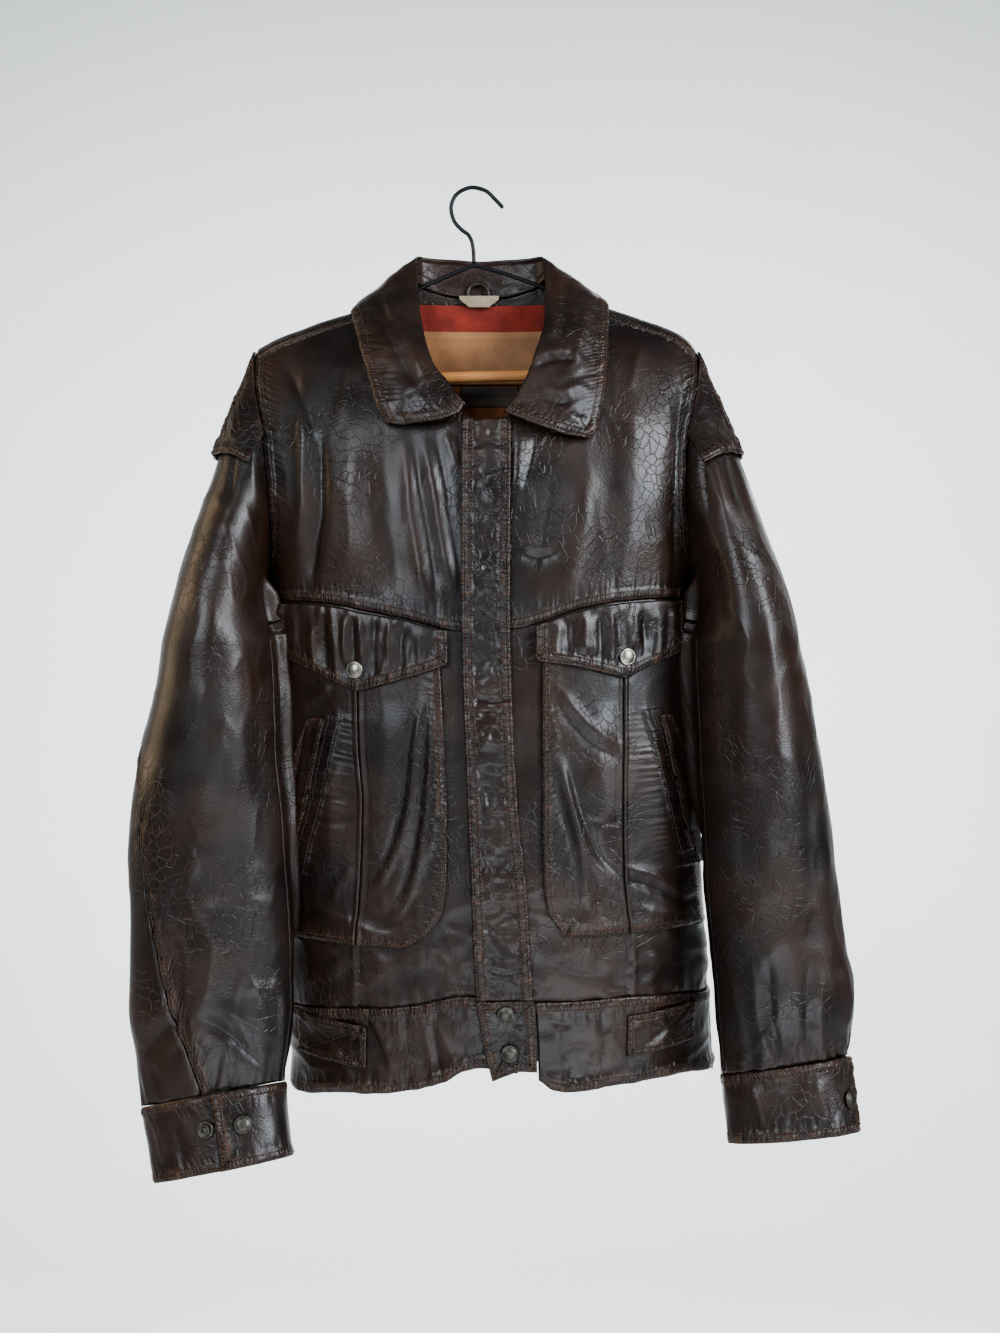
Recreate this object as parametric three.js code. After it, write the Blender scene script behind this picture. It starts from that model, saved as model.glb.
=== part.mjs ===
// Worn leather jacket on a wire hanger with a wooden bar, millimetres, +Z up.
// The origin is the inner top of the hook. The front faces -Y, and +X is the
// wearer's left, so names end in _l for +X and _r for -X.
// Every cloth piece is a thin wall laid on one shared form: front(x, z), back(x, z),
// the sleeve heads and the sleeve rings. What lies on a panel is made from the
// panel's own points, moved out.
import * as THREE from 'three';

// Leather and gaps
const LEATHER = 1.5;
const DOUBLE = 2.2;
const LINING = 1.0;
const SEAM_GAP = 0.4;

// Hanger
const WIRE_R = 1.9;
const BAR_R = 5.2;
const BAR_Z = -177.3;
const BAR_TILT = 0.03;
const BAR_LEFT_X = 190;
const BAR_RIGHT_X = -184.5;

// Body levels from neck to hem, and the section's sizes at each
const LEVEL = [-840, -790, -720, -620, -520, -420, -330, -290, -240, -200, -160, -90];
const CENTRE_X = [29, 26, 22, 16.5, 12.5, 10, 7, 5.5, 4, 4, 4, 4];
const HALF_WIDTH = [200, 200, 200, 200, 200, 200, 200, 202, 207, 213, 220, 224];
const CENTRE_Y = [17, 17, 17, 17, 16, 14, 10, 7, 4, 2.5, 1, 0.5];
const FRONT_DEPTH = [91, 92, 94, 96, 96, 95, 94, 93, 92, 90, 88, 86];
const BACK_DEPTH = [17, 17, 18, 19, 21, 24, 27, 27.5, 28, 27, 26, 24];
const BACK_EDGE = 0.99945;
const SQUARENESS = [2.1, 2.1, 2.1, 2.1, 2.1, 2.3, 3.3, 4.2, 5.2, 5.6, 6, 6];

// Height of the shoulder ridge, where the cloth passes over the wire
const RIDGE_X = [-230, -204, -186, -161, -135, -114, -53, 0, 10, 70, 131, 159, 188, 203, 211, 236];
const RIDGE_Z = [-167, -152, -142, -132.4, -123, -116.5, -86, -66, -64, -84, -113.5, -123, -132.5,
  -142, -151.5, -168];
const RIDGE_ROUND = 5;
const FRONT_FALL = 90;
const BACK_FALL = 60;

// Half width of the armhole at each height, from underarm to shoulder tip
const ARM_LEVEL = [-390, -370, -340, -290, -259, -240, -222, -193, -165, -152];
const ARM_HALF = [199, 194, 190, 188, 190, 192, 196, 202, 205, 206];
const ARM_TOP = -152.5;
const ARM_BOTTOM = -389;

// Seams on the body
const YOKE_DROP = 13;
const BACK_SEAM_Z = -232;
const CHEST_X = [-190, -124, -92, -61, -8, 42, 59, 87, 112, 137, 210];
const CHEST_Z = [-391, -396, -403, -409, -420.5, -418, -414, -404, -397.5, -393.6, -388];
const WAIST_X = [-175, -128, -92, -50, -4.5, 58, 91, 133, 184, 231];
const WAIST_Z = [-766, -758, -753.6, -748.4, -738, -743.4, -744.5, -743, -747, -757];
const HEM_X = [-173, -154, -121, -85, -50, -23, -5, 11, 59, 72, 91, 133, 184, 230];
const HEM_Z = [-846, -843, -834, -829.5, -823, -814.5, -804, -801, -812, -821, -824, -820.5, -819, -829];

// Sleeves: height, centre x, half width, centre y, half depth, forward pitch and roll of each ring
const SLEEVE_R = [
  [-430, -225, 49, -56, 57, 0, 0],
  [-470, -227.5, 53.5, -54, 58, 0, 0],
  [-534, -232.5, 62.5, -57, 53, 0, 0],
  [-605, -234, 70, -59, 48, 4, 0],
  [-676, -230.5, 71.5, -61, 45, 8, 2],
  [-746, -228.5, 72.5, -66, 42, 12, 5],
  [-790, -226.5, 67, -71, 38, 17, 8],
  [-825, -225.5, 62.5, -76, 33, 20, 10.4],
];
const SLEEVE_L = [
  [-430, 245, 47, -56, 57, 0, 0],
  [-470, 250, 50, -54, 58, 0, 0],
  [-534, 256.5, 53.5, -57, 55, 0, 0],
  [-605, 264, 57, -59, 51, 4, 0],
  [-676, 270.5, 58.5, -61, 48, 8, 2],
  [-735, 277, 60, -65, 45, 12, 4],
  [-772, 276.5, 57.5, -70, 40, 16, 6],
  [-799, 274, 54.5, -76, 35, 18, 8.7],
];
const CUFF_R = [[-826, -225.3, 62, -76.3, 33, 20, 10.4], [-883, -212, 59, -94, 29, 19, 11.3]];
const CUFF_L = [[-800, 274, 54.4, -76.3, 35, 18, 8.7], [-855, 277, 54, -94, 30, 17, 5.9]];
const BODY_CLEARANCE = 4.6;
const FRONT_SEAM_ANGLE = 12;
const BACK_SEAM_R = [[-152, 250], [-430, 215], [-505, 178], [-570, 144], [-660, 128], [-746, 110],
  [-826, 88]];
const BACK_SEAM_L = [[-152, 250], [-430, 225], [-505, 215], [-605, 205], [-700, 190], [-800, 172]];
const CUFF_EDGE_R = 84;
const CUFF_EDGE_L = 168;
const CUFF_OVERLAP = 32;
const CUFF_LAP_LIFT = 3.4;
const CUFF_LAP_SHARE = 0.3;
const HEAD_ROWS = 5;
const RING_ROWS = 8;
const SLEEVE_SEAM_HALF_ANGLE = 1.1;

// Shoulder caps over the sleeve heads
const CAP_LIFT = 0.7;
const CAP_ANGLES = [104, 256];
const CAP_REACH = 0.31;

// Collar: where it rolls over, its outer edge, its end edges and its seam to the body
const ROLL = [[-5, -86, -222], [-20, -79, -201], [-32, -72, -185], [-41.5, -58, -155], [-48, -40, -120],
  [-52, -14, -84], [-54, 2, -64], [-48, 13, -59], [-20, 20, -59], [7, 22, -60],
  [34, 20, -59], [61, 13, -59], [67.5, 2, -64], [68, -14, -84], [67.5, -38, -116],
  [65.5, -57, -143], [59, -68, -168], [50, -77, -195], [37.5, -84, -218], [29, -87, -229]];
const EDGE = [[-73, -79, -238], [-81, -77, -226], [-91, -65, -194], [-101, -48, -161], [-109, -28, -134],
  [-113, -14, -119], [-109, 10, -108.5], [-92, 34, -123], [-50, 38, -127], [7, 38, -128],
  [60, 38, -127], [106, 34, -121], [124, 8, -103.5], [127, -16, -114], [126, -30, -134],
  [124, -49, -163], [121, -64, -195], [115, -76, -232], [110, -80, -247], [103, -81, -252]];
const END_EDGE_R = [[-5, -86, -222], [-9, -86, -231], [-33, -85, -239], [-60, -81, -241], [-73, -79, -238]];
const END_EDGE_L = [[29, -87, -229], [40, -88, -235], [59, -87, -243], [83, -84, -250], [103, -81, -252]];
const NECK_SEAM = [[-4, -224], [-22, -208], [-36.5, -184], [-49, -152], [-55.5, -122], [-57.5, -103],
  [-54, -87.5], [-45, -91.8], [-20, -97.2], [7, -99.2], [34, -97.2], [59, -91.3],
  [69, -86], [73.5, -103], [72, -122], [69, -148], [63.5, -176], [54.5, -202], [40, -221], [32, -226]];

// Front edges under the placket, and the placket
const NECK_LEVEL = [-238, -228, -200, -165, -130, -99];
const NECK_R = [11, -9, -31, -47, -56, -61];
const NECK_L = [15, 40, 57, 68, 73, 76];
const PLACKET_LEVEL = [-814, -777, -739, -652, -566, -393, -234];
const PLACKET_R = [20, 11.3, 5.2, 1, -2.5, -7.7, -7];
const PLACKET_L = [58.2, 57, 54.6, 49.4, 40.7, 34.6, 35.6];
const PLACKET_TOP = -236;
const PLACKET_CROSS = -741;
const PLACKET_LIFT = 2.6;
const TAB_BOTTOM_X = [19, 32, 44, 58];
const TAB_BOTTOM_Z = [-812, -806, -803, -804];

// Small pieces on the fronts: outlines by height or by width
const FLAP_R = { x: [-171, -19], bottomX: [-178, -151, -124, -98.6, -61, -36, -18],
  bottomZ: [-436, -448, -461.5, -473, -463, -455.5, -449] };
const FLAP_L = { x: [56, 190], bottomX: [54, 60, 87, 112, 135, 150, 190],
  bottomZ: [-440, -447, -450, -455.5, -461.6, -453, -435] };
const POCKET_LEVEL = [-698, -693, -680, -660, -632, -570, -524, -430];
const POCKET_INNER_R = [-62, -50, -35, -23, -20.4, -19.6, -21, -26];
const POCKET_INNER_L = [104, 92, 77, 66, 63.4, 62.5, 62.5, 62.5];
const POCKET_SEAM_R = [-100, -99.7, -99, -97.5, -95.7, -93.6, -97.2, -99];
const POCKET_SEAM_L = [141, 140.4, 139, 136.4, 134, 132.8, 133.7, 134.6];
const POCKET_OUTER_R = [-158, -160, -163, -167, -170, -175, -177, -178];
const POCKET_OUTER_L = [212, 211, 209, 207, 204, 199, 196, 192];
const POCKET_BOTTOM_R = -697;
const POCKET_BOTTOM_L = -687;
const WELT_R = { z: [-640, -609, -575, -534, -497], outer: [-172, -172.5, -168, -158, -144],
  inner: [-162, -155, -145, -136, -127] };
const WELT_L = { z: [-632, -606, -576, -546, -518, -494], outer: [212, 209, 203, 197, 189, 179],
  inner: [204, 197, 188.5, 180.5, 173.5, 166.5] };
const TAB_R = { x: [-157, -92], top: [-766, -770], bottom: [-803, -807] };
const TAB_L = { x: [138, 204], top: [-760, -757], bottom: [-795, -791] };
const POCKET_LIFT = 1.8;
const WELT_LIFT = 4;
const FLAP_LIFT = 5;
const TAB_LIFT = 1.7;

// Loop and label at the back of the neck
const LOOP_R = 10;
const LOOP_WIRE = 2;
const LOOP_X = 5;
const LOOP_Z = -95;
const LOOP_STANDS_OFF = 3.1;
const LABEL = 0.8;
const LABEL_X = [-13, 25];
const LABEL_Z = [-97.5, -108.5];
const LABEL_FLAT = 0.5;
const LABEL_CORNER = 16;

// Snaps
const CAP_RADIUS = 7.4;
const SNAP_HEIGHT = 3;
const SNAP_FLAP_R = [-98.7, -453.6];
const SNAP_FLAP_L = [135.5, -442.2];
const SNAP_PLACKET_TOP = [30.8, -752.5];
const SNAP_PLACKET_LOW = [34.3, -787];
const SNAP_CUFF_R = [62, 0.46];
const STUD_CUFF_R = [92, 0.44];
const SNAP_CUFF_L = [146, 0.55];

// Main folds of the cloth: path in x and z, reach to each side, height (negative sinks)
const FOLDS = [
  { path: [[-172, -190], [-154, -225], [-144, -262], [-143, -310], [-150, -385]], reach: 12, height: -7 },
  { path: [[-112, -200], [-122, -260], [-130, -320], [-128, -385]], reach: 16, height: 5 },
  { path: [[-58, -250], [-52, -300], [-38, -390]], reach: 8, height: 4 },
  { path: [[-43, -250], [-30, -320], [-12, -390]], reach: 8, height: 5 },
  { path: [[52, -260], [50, -320], [62, -390]], reach: 14, height: 5 },
  { path: [[104, -270], [95, -320], [84, -385]], reach: 14, height: 5 },
  { path: [[176, -180], [172, -250], [178, -340]], reach: 14, height: -5 },
  { path: [[-34, -480], [-42, -560], [-58, -620], [-86, -660]], reach: 14, height: 3.5 },
  { path: [[78, -480], [90, -560], [104, -640]], reach: 14, height: 3.5 },
];

const LOOKS = {
  leather: { color: 0x3a2a22, roughness: 0.38, metalness: 0 },
  collar: { color: 0x3e2c22, roughness: 0.4, metalness: 0 },
  metal: { color: 0x9a927e, roughness: 0.32, metalness: 1 },
  wire: { color: 0x17181b, roughness: 0.4, metalness: 0.3 },
  wood: { color: 0xd9a468, roughness: 0.45, metalness: 0 },
  red: { color: 0xb04a40, roughness: 0.75, metalness: 0 },
  tan: { color: 0xc19a63, roughness: 0.7, metalness: 0 },
  orange: { color: 0xb8683a, roughness: 0.7, metalness: 0 },
  label: { color: 0xd8d2c4, roughness: 0.8, metalness: 0 },
};

const radians = (degrees) => (degrees * Math.PI) / 180;
const mix = (a, b, t) => a + (b - a) * t;
const clamp = (value, low, high) => Math.min(high, Math.max(low, value));
const smooth = (t) => {
  const s = clamp(t, 0, 1);
  return s * s * (3 - 2 * s);
};

// Smooth curve through (xs, ys) that doesn't overshoot, held level past its ends
function table(xs, ys) {
  const count = xs.length;
  const step = [];
  const slope = [];
  for (let i = 0; i < count - 1; i += 1) {
    step.push(xs[i + 1] - xs[i]);
    slope.push((ys[i + 1] - ys[i]) / step[i]);
  }
  const tangent = [slope[0]];
  for (let i = 1; i < count - 1; i += 1) {
    const before = 2 * step[i] + step[i - 1];
    const after = step[i] + 2 * step[i - 1];
    const level = slope[i - 1] * slope[i] <= 0;
    tangent.push(level ? 0 : (before + after) / (before / slope[i - 1] + after / slope[i]));
  }
  tangent.push(slope[count - 2]);
  return (value) => {
    const x = clamp(value, xs[0], xs[count - 1]);
    let i = 0;
    while (i < count - 2 && x > xs[i + 1]) i += 1;
    const t = (x - xs[i]) / step[i];
    const s = 1 - t;
    return (1 + 2 * t) * s * s * ys[i] + t * s * s * step[i] * tangent[i]
      + t * t * (3 - 2 * t) * ys[i + 1] - t * t * s * step[i] * tangent[i + 1];
  };
}

// Point at share t of a route through 3-D points, evenly by point number
function along(points, t) {
  const place = clamp(t, 0, 1) * (points.length - 1);
  const i = Math.min(points.length - 2, Math.floor(place));
  return points[i].map((value, axis) => mix(value, points[i + 1][axis], place - i));
}

const centreX = table(LEVEL, CENTRE_X);
const halfWidth = table(LEVEL, HALF_WIDTH);
const centreY = table(LEVEL, CENTRE_Y);
const frontDepth = table(LEVEL, FRONT_DEPTH);
const backDepth = table(LEVEL, BACK_DEPTH);
const squareness = table(LEVEL, SQUARENESS);
const ridge = table(RIDGE_X, RIDGE_Z);
const armHalf = table(ARM_LEVEL, ARM_HALF);
const chestSeam = table(CHEST_X, CHEST_Z);
const waistSeam = table(WAIST_X, WAIST_Z);
const hem = table(HEM_X, HEM_Z);

// How far a point of the section stands out, 1 at the middle and 0 at the side
function fullness(x, z) {
  const share = clamp(Math.abs(x - centreX(z)) / halfWidth(z), 0, 0.99999);
  const power = squareness(z);
  return (1 - share ** power) ** (1 / power);
}

// Distance from (x, z) to a route of (x, z) points
function routeDistance(x, z, path) {
  let best = Infinity;
  for (let i = 0; i < path.length - 1; i += 1) {
    const [ax, az] = path[i];
    const dx = path[i + 1][0] - ax;
    const dz = path[i + 1][1] - az;
    const t = clamp(((x - ax) * dx + (z - az) * dz) / (dx * dx + dz * dz), 0, 1);
    best = Math.min(best, Math.hypot(x - ax - t * dx, z - az - t * dz));
  }
  return best;
}

const foldHeight = (x, z) => FOLDS.reduce(
  (sum, fold) => sum + fold.height * Math.exp(-((routeDistance(x, z, fold.path) / fold.reach) ** 2)),
  0,
);

function overRidge(drop, depth, fall) {
  return depth * (1 - Math.exp(-drop / fall)) + RIDGE_ROUND * Math.sqrt(1 - Math.exp(-drop / RIDGE_ROUND));
}

// Outer face of the front and of the back, as y over x and z
function front(x, z) {
  const drop = Math.max(ridge(x) - z, 0);
  return centreY(z) - (overRidge(drop, frontDepth(z), FRONT_FALL) + foldHeight(x, z) * smooth(drop / 60))
    * fullness(x, z);
}

function back(x, z) {
  const drop = Math.max(ridge(x) - z, 0);
  return centreY(z) + overRidge(drop, backDepth(z), BACK_FALL) * fullness(x, z);
}

const onFront = (x, z) => [x, front(x, z), z];
const onBack = (x, z) => [x, back(x, z), z];

const meshes = [];

function add(name, geometry, look, place) {
  const material = new THREE.MeshStandardMaterial(LOOKS[look]);
  const mesh = new THREE.Mesh(geometry, material);
  mesh.name = name;
  if (place) {
    mesh.position.copy(place.position);
    mesh.quaternion.copy(place.quaternion);
  }
  meshes.push(mesh);
  return mesh;
}

// Unit normals of a grid of points, by the cross product of its two directions
function gridNormals(rows) {
  const last = rows.length - 1;
  return rows.map((row, j) => row.map((point, i) => {
    const across = new THREE.Vector3(...row[Math.min(i + 1, row.length - 1)])
      .sub(new THREE.Vector3(...row[Math.max(i - 1, 0)]));
    const down = new THREE.Vector3(...rows[Math.min(j + 1, last)][i])
      .sub(new THREE.Vector3(...rows[Math.max(j - 1, 0)][i]));
    return across.cross(down).normalize();
  }));
}

// Closed wall on a grid of points, from inner to outer millimetres along the normals
function wallGeometry(rows, inner, outer, facing) {
  const normals = gridNormals(rows);
  const middle = normals[Math.floor(rows.length / 2)][Math.floor(rows[0].length / 2)];
  const sign = middle.dot(new THREE.Vector3(...facing)) < 0 ? -1 : 1;
  const width = rows[0].length;
  const height = rows.length;
  const vertices = [];
  [outer, inner].forEach((offset) => rows.forEach((row, j) => row.forEach((point, i) => {
    const shift = typeof offset === 'function' ? offset(i / (width - 1), j / (height - 1)) : offset;
    const moved = normals[j][i].clone().multiplyScalar(sign * shift);
    vertices.push(point[0] + moved.x, point[1] + moved.y, point[2] + moved.z);
  })));
  const layer = width * height;
  const faces = [];
  const quad = (a, b, c, d) => faces.push(a, b, c, a, c, d);
  for (let j = 0; j < height - 1; j += 1) {
    for (let i = 0; i < width - 1; i += 1) {
      const a = j * width + i;
      quad(a, a + 1, a + width + 1, a + width);
      quad(layer + a, layer + a + width, layer + a + width + 1, layer + a + 1);
    }
  }
  for (let i = 0; i < width - 1; i += 1) {
    const low = (height - 1) * width + i;
    quad(i + 1, i, layer + i, layer + i + 1);
    quad(low, low + 1, layer + low + 1, layer + low);
  }
  for (let j = 0; j < height - 1; j += 1) {
    const left = j * width;
    const right = left + width - 1;
    quad(left, left + width, layer + left + width, layer + left);
    quad(right + width, right, layer + right, layer + right + width);
  }
  return closedGeometry(vertices, faces);
}

// Geometry from loose lists, turned face-out by its signed volume
function closedGeometry(vertices, faces) {
  let volume = 0;
  const corner = (index) => new THREE.Vector3(...vertices.slice(index * 3, index * 3 + 3));
  for (let i = 0; i < faces.length; i += 3) {
    volume += corner(faces[i]).dot(corner(faces[i + 1]).cross(corner(faces[i + 2])));
  }
  const ordered = volume > 0 ? faces : faces.slice().reverse();
  const geometry = new THREE.BufferGeometry();
  geometry.setAttribute('position', new THREE.Float32BufferAttribute(vertices, 3));
  geometry.setIndex(ordered);
  return geometry;
}

function grid(columns, rows, pointAt) {
  return Array.from({ length: rows + 1 }, (_, j) => Array.from(
    { length: columns + 1 },
    (__, i) => pointAt(i / columns, j / rows),
  ));
}

function wall(name, look, columns, rows, pointAt, inner, outer, facing) {
  add(name, wallGeometry(grid(columns, rows, pointAt), inner, outer, facing), look);
}

const FORWARD = [0, -1, 0];
const BACKWARD = [0, 1, 0];
const SIDES = [{ key: 'r', sign: -1 }, { key: 'l', sign: 1 }];

// Share across a front, with columns closer together toward the side, where it curves away
const towardSide = (u) => Math.sin((u * Math.PI) / 2) * 0.75 + u * 0.25;

const armX = (sign, z) => centreX(z) + sign * armHalf(z);
const sideX = (sign, z) => centreX(z) + sign * halfWidth(z);

// Where the yoke seam meets height z, stepping out from the neck
function yokeSeamX(sign, z) {
  let x = centreX(z) + sign * 56;
  while (Math.abs(x - centreX(z)) < 206 && ridge(x) - YOKE_DROP > z) x += sign;
  return x;
}

function frontEdges() {
  const placketR = table(PLACKET_LEVEL, PLACKET_R);
  const placketL = table(PLACKET_LEVEL, PLACKET_L);
  const neckR = table(NECK_LEVEL, NECK_R);
  const neckL = table(NECK_LEVEL, NECK_L);
  const under = (z) => mix(placketR(z), placketL(z), 0.5);
  return {
    r: (z) => (z > NECK_LEVEL[0] ? neckR(z) : under(z) - 2),
    l: (z) => (z > NECK_LEVEL[0] ? neckL(z) : under(z) + 2),
  };
}

// Point on the front between two edges given over z and two seams given over x
function between(u, v, innerAt, outerAt, topAt, bottomAt) {
  let z = mix(topAt(centreX(-500)), bottomAt(centreX(-500)), v);
  let x = 0;
  for (let pass = 0; pass < 4; pass += 1) {
    x = mix(innerAt(z), outerAt(z), towardSide(u));
    z = mix(topAt(x), bottomAt(x), v);
  }
  return onFront(x, z);
}

// Upper fronts, from the yoke seam to the chest seam
function upperFronts() {
  const edges = frontEdges();
  const levels = [-101, -112, -124, -137, -151, -166, -193, -222, -245, -275, -310, -345, -375, -405];
  SIDES.forEach(({ key, sign }) => {
    const pointAt = (u, v) => {
      const z = levels[Math.round(v * (levels.length - 1))];
      const inner = edges[key](z);
      const armZ = Math.max(z, ARM_BOTTOM);
      const outer = z > ARM_TOP - YOKE_DROP ? yokeSeamX(sign, z) : armX(sign, armZ);
      const x = mix(inner, outer, towardSide(u));
      const sag = smooth((-300 - z) / 105) * (chestSeam(x) + SEAM_GAP - levels[levels.length - 1]);
      return onFront(x, z + sag);
    };
    wall(`front_upper_${key}`, 'leather', 9, levels.length - 1, pointAt, -LEATHER, 0, FORWARD);
  });
}

// Lower fronts, from the chest seam to the waistband
function lowerFronts() {
  const edges = frontEdges();
  SIDES.forEach(({ key, sign }) => {
    const pointAt = (u, v) => between(
      u,
      v,
      edges[key],
      (z) => sideX(sign, z),
      (x) => chestSeam(x) - SEAM_GAP,
      (x) => waistSeam(x) + SEAM_GAP,
    );
    wall(`front_lower_${key}`, 'leather', 10, 9, pointAt, -LEATHER, 0, FORWARD);
  });
}

function waistband() {
  const placketL = table(PLACKET_LEVEL, PLACKET_L);
  const starts = { r: () => placketL(-790) - 16, l: (z) => placketL(z) + 1.5 };
  SIDES.forEach(({ key, sign }) => {
    const pointAt = (u, v) => between(
      u,
      v,
      starts[key],
      (z) => sideX(sign, z),
      (x) => waistSeam(x) - SEAM_GAP,
      hem,
    );
    wall(`waistband_front_${key}`, 'leather', 9, 2, pointAt, -LEATHER, 0.9, FORWARD);
  });
  const pointAt = (u, v) => {
    const level = mix(-758, -838, v);
    const x = centreX(level) + halfWidth(level) * BACK_EDGE * Math.sin((u - 0.5) * Math.PI);
    return onBack(x, level);
  };
  wall('waistband_back', 'leather', 16, 2, pointAt, -LEATHER, 0.9, BACKWARD);
}

// Back panel, from the yoke seam to the waistband
function backPanel() {
  const levels = [-232.4, -275, -320, -360, -389, -440, -510, -590, -670, -757.6];
  const pointAt = (u, v) => {
    const z = levels[Math.round(v * (levels.length - 1))];
    const half = z > ARM_BOTTOM ? armHalf(z) : halfWidth(z) * BACK_EDGE;
    return onBack(centreX(z) + half * Math.sin((u - 0.5) * Math.PI), z);
  };
  wall('back_panel', 'leather', 16, levels.length - 1, pointAt, -LEATHER, 0, BACKWARD);
}

// Yoke: over the shoulder ridge, measured down from it, before it (negative) and behind it
function yoke() {
  const columns = [-202, -188, -165, -140, -112, -84, -68, -61, -58.8, -57, -53, -44, -20, 7, 34, 58,
    67, 71, 73.6, 76, 92, 120, 148, 172, 195, 210];
  const neckEdge = table([-53, -44, -20, 7, 34, 58, 67], [-90.5, -92.8, -98, -100, -98, -92.3, -89.5]);
  const turn = YOKE_DROP - 1.3;
  const startAt = (x) => {
    if (x <= -61 || x >= 76) return -turn;
    if (x < -57) return mix(-turn, 2, (x + 61) / 4);
    if (x > 71) return mix(2, -turn, (x - 71) / 5);
    return Math.max(2, ridge(x) - neckEdge(x));
  };
  const overTop = [-turn, -6, -1.5, 0, 1.5, 6, 22, 55];
  const behind = [0, 0.03, 0.06, 0.1, 0.15, 0.25, 0.4, 0.65];
  const rows = [...overTop, 0].map((fixed, j) => columns.map((x) => {
    const start = startAt(x);
    const end = ridge(x) - BACK_SEAM_Z;
    const across = start < -turn + 0.01 ? fixed : mix(start, end, behind[j]);
    const drop = j === overTop.length ? end : across;
    const z = ridge(x) - Math.abs(drop);
    const narrow = mix(1, armHalf(z) / 206, smooth((Math.abs(x - 4) - 120) / 86));
    const moved = 4 + (x - 4) * narrow;
    return drop < 0 ? onFront(moved, z) : onBack(moved, z);
  }));
  add('back_yoke', wallGeometry(rows, -LEATHER, 0, BACKWARD), 'leather');
}

// Sleeve ring at share t of its list: centre, half sizes and turned axes
function ringPoint(rings, t, angle, sign) {
  const [z, x, halfX, y, halfY, pitch, roll] = along(rings, t);
  const a = radians(angle);
  const sideways = -sign * halfX * Math.cos(a);
  const forward = halfY * Math.sin(a);
  const lift = forward * Math.sin(radians(pitch)) + sideways * Math.sin(radians(roll));
  return [x + sideways * Math.cos(radians(roll)), y - forward * Math.cos(radians(pitch)), z + lift];
}

// Armhole edge at an angle round the sleeve: 0 underarm, 90 front, 180 shoulder, 270 back
function armholePoint(angle, sign) {
  const a = radians(angle);
  const z = mix(ARM_BOTTOM, ARM_TOP - 1, (1 - Math.cos(a)) / 2);
  const x = armX(sign, z);
  return [x + sign * 2.6, Math.sin(a) >= 0 ? front(x, z) : back(x, z), z];
}

// A sleeve point pushed out sideways until it is clear of the side of the body, from its share
// of the way down the sleeve head
function clearOfBody([x, y, z], sign, share) {
  const below = smooth((ARM_BOTTOM + 26 - z) / 24) * smooth(share * 2.5);
  const ahead = y < centreY(z);
  const depth = RIDGE_ROUND + (ahead ? frontDepth(z) : backDepth(z));
  const aside = Math.abs(y - centreY(z)) / depth;
  if (below === 0 || aside >= 1) return [x, y, z];
  const power = squareness(z);
  const limit = halfWidth(z) * (1 - aside ** power) ** (1 / power) + BODY_CLEARANCE;
  const out = sign * (x - centreX(z));
  return [centreX(z) + sign * (out + below * Math.max(0, limit - out)), y, z];
}

// Sleeve head from the armhole (t = 0) to the first ring (t = 1)
function headPoint(rings, t, angle, sign) {
  const start = armholePoint(angle, sign);
  const end = ringPoint(rings, 0, angle, sign);
  const a = radians(angle);
  const out = (1 - Math.cos(a)) / 2;
  const forward = Math.sin(a);
  const leave = [sign * mix(6, 46, out), forward > 0 ? -70 * forward : -20 * forward, -mix(30, 120, out)];
  const arrive = [sign * mix(-4, 26, out), 0, -mix(40, 150, out)];
  const t2 = t * t;
  const t3 = t2 * t;
  return start.map((value, axis) => (2 * t3 - 3 * t2 + 1) * value + (t3 - 2 * t2 + t) * leave[axis]
    + (3 * t2 - 2 * t3) * end[axis] + (t3 - t2) * arrive[axis]);
}

function sleeves() {
  [{ key: 'r', sign: -1, rings: SLEEVE_R, seam: BACK_SEAM_R },
    { key: 'l', sign: 1, rings: SLEEVE_L, seam: BACK_SEAM_L }].forEach(({ key, sign, rings, seam }) => {
    const heights = seam.map((row) => row[0]).reverse();
    const angles = seam.map((row) => row[1]).reverse();
    const seamAngle = table(heights, angles);
    const point = (v, angle) => {
      const row = v * (HEAD_ROWS + RING_ROWS);
      return clearOfBody(row <= HEAD_ROWS
        ? headPoint(rings, row / HEAD_ROWS, angle, sign)
        : ringPoint(rings, (row - HEAD_ROWS) / RING_ROWS, angle, sign), sign, row / HEAD_ROWS);
    };
    const heightAt = (v) => point(v, 90)[2];
    const pieces = {
      front: (u, v) => mix(FRONT_SEAM_ANGLE + SLEEVE_SEAM_HALF_ANGLE, seamAngle(heightAt(v))
        - SLEEVE_SEAM_HALF_ANGLE, u),
      back: (u, v) => mix(seamAngle(heightAt(v)) + SLEEVE_SEAM_HALF_ANGLE, FRONT_SEAM_ANGLE + 360
        - SLEEVE_SEAM_HALF_ANGLE, u),
    };
    const middle = point(0.7, 0).map((value, axis) => mix(value, point(0.7, 180)[axis], 0.5));
    Object.entries(pieces).forEach(([piece, angleAt]) => {
      const columns = piece === 'front' ? 10 : 8;
      const rows = grid(columns, HEAD_ROWS + RING_ROWS, (u, v) => point(v, angleAt(u, v)));
      const probe = rows[Math.floor(rows.length / 2)][Math.floor(rows[0].length / 2)];
      const facing = probe.map((value, axis) => (axis === 2 ? 0 : value - middle[axis]));
      add(`sleeve_${piece}_${key}`, wallGeometry(rows, -LEATHER, 0, facing), 'leather');
    });
  });
}

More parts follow.
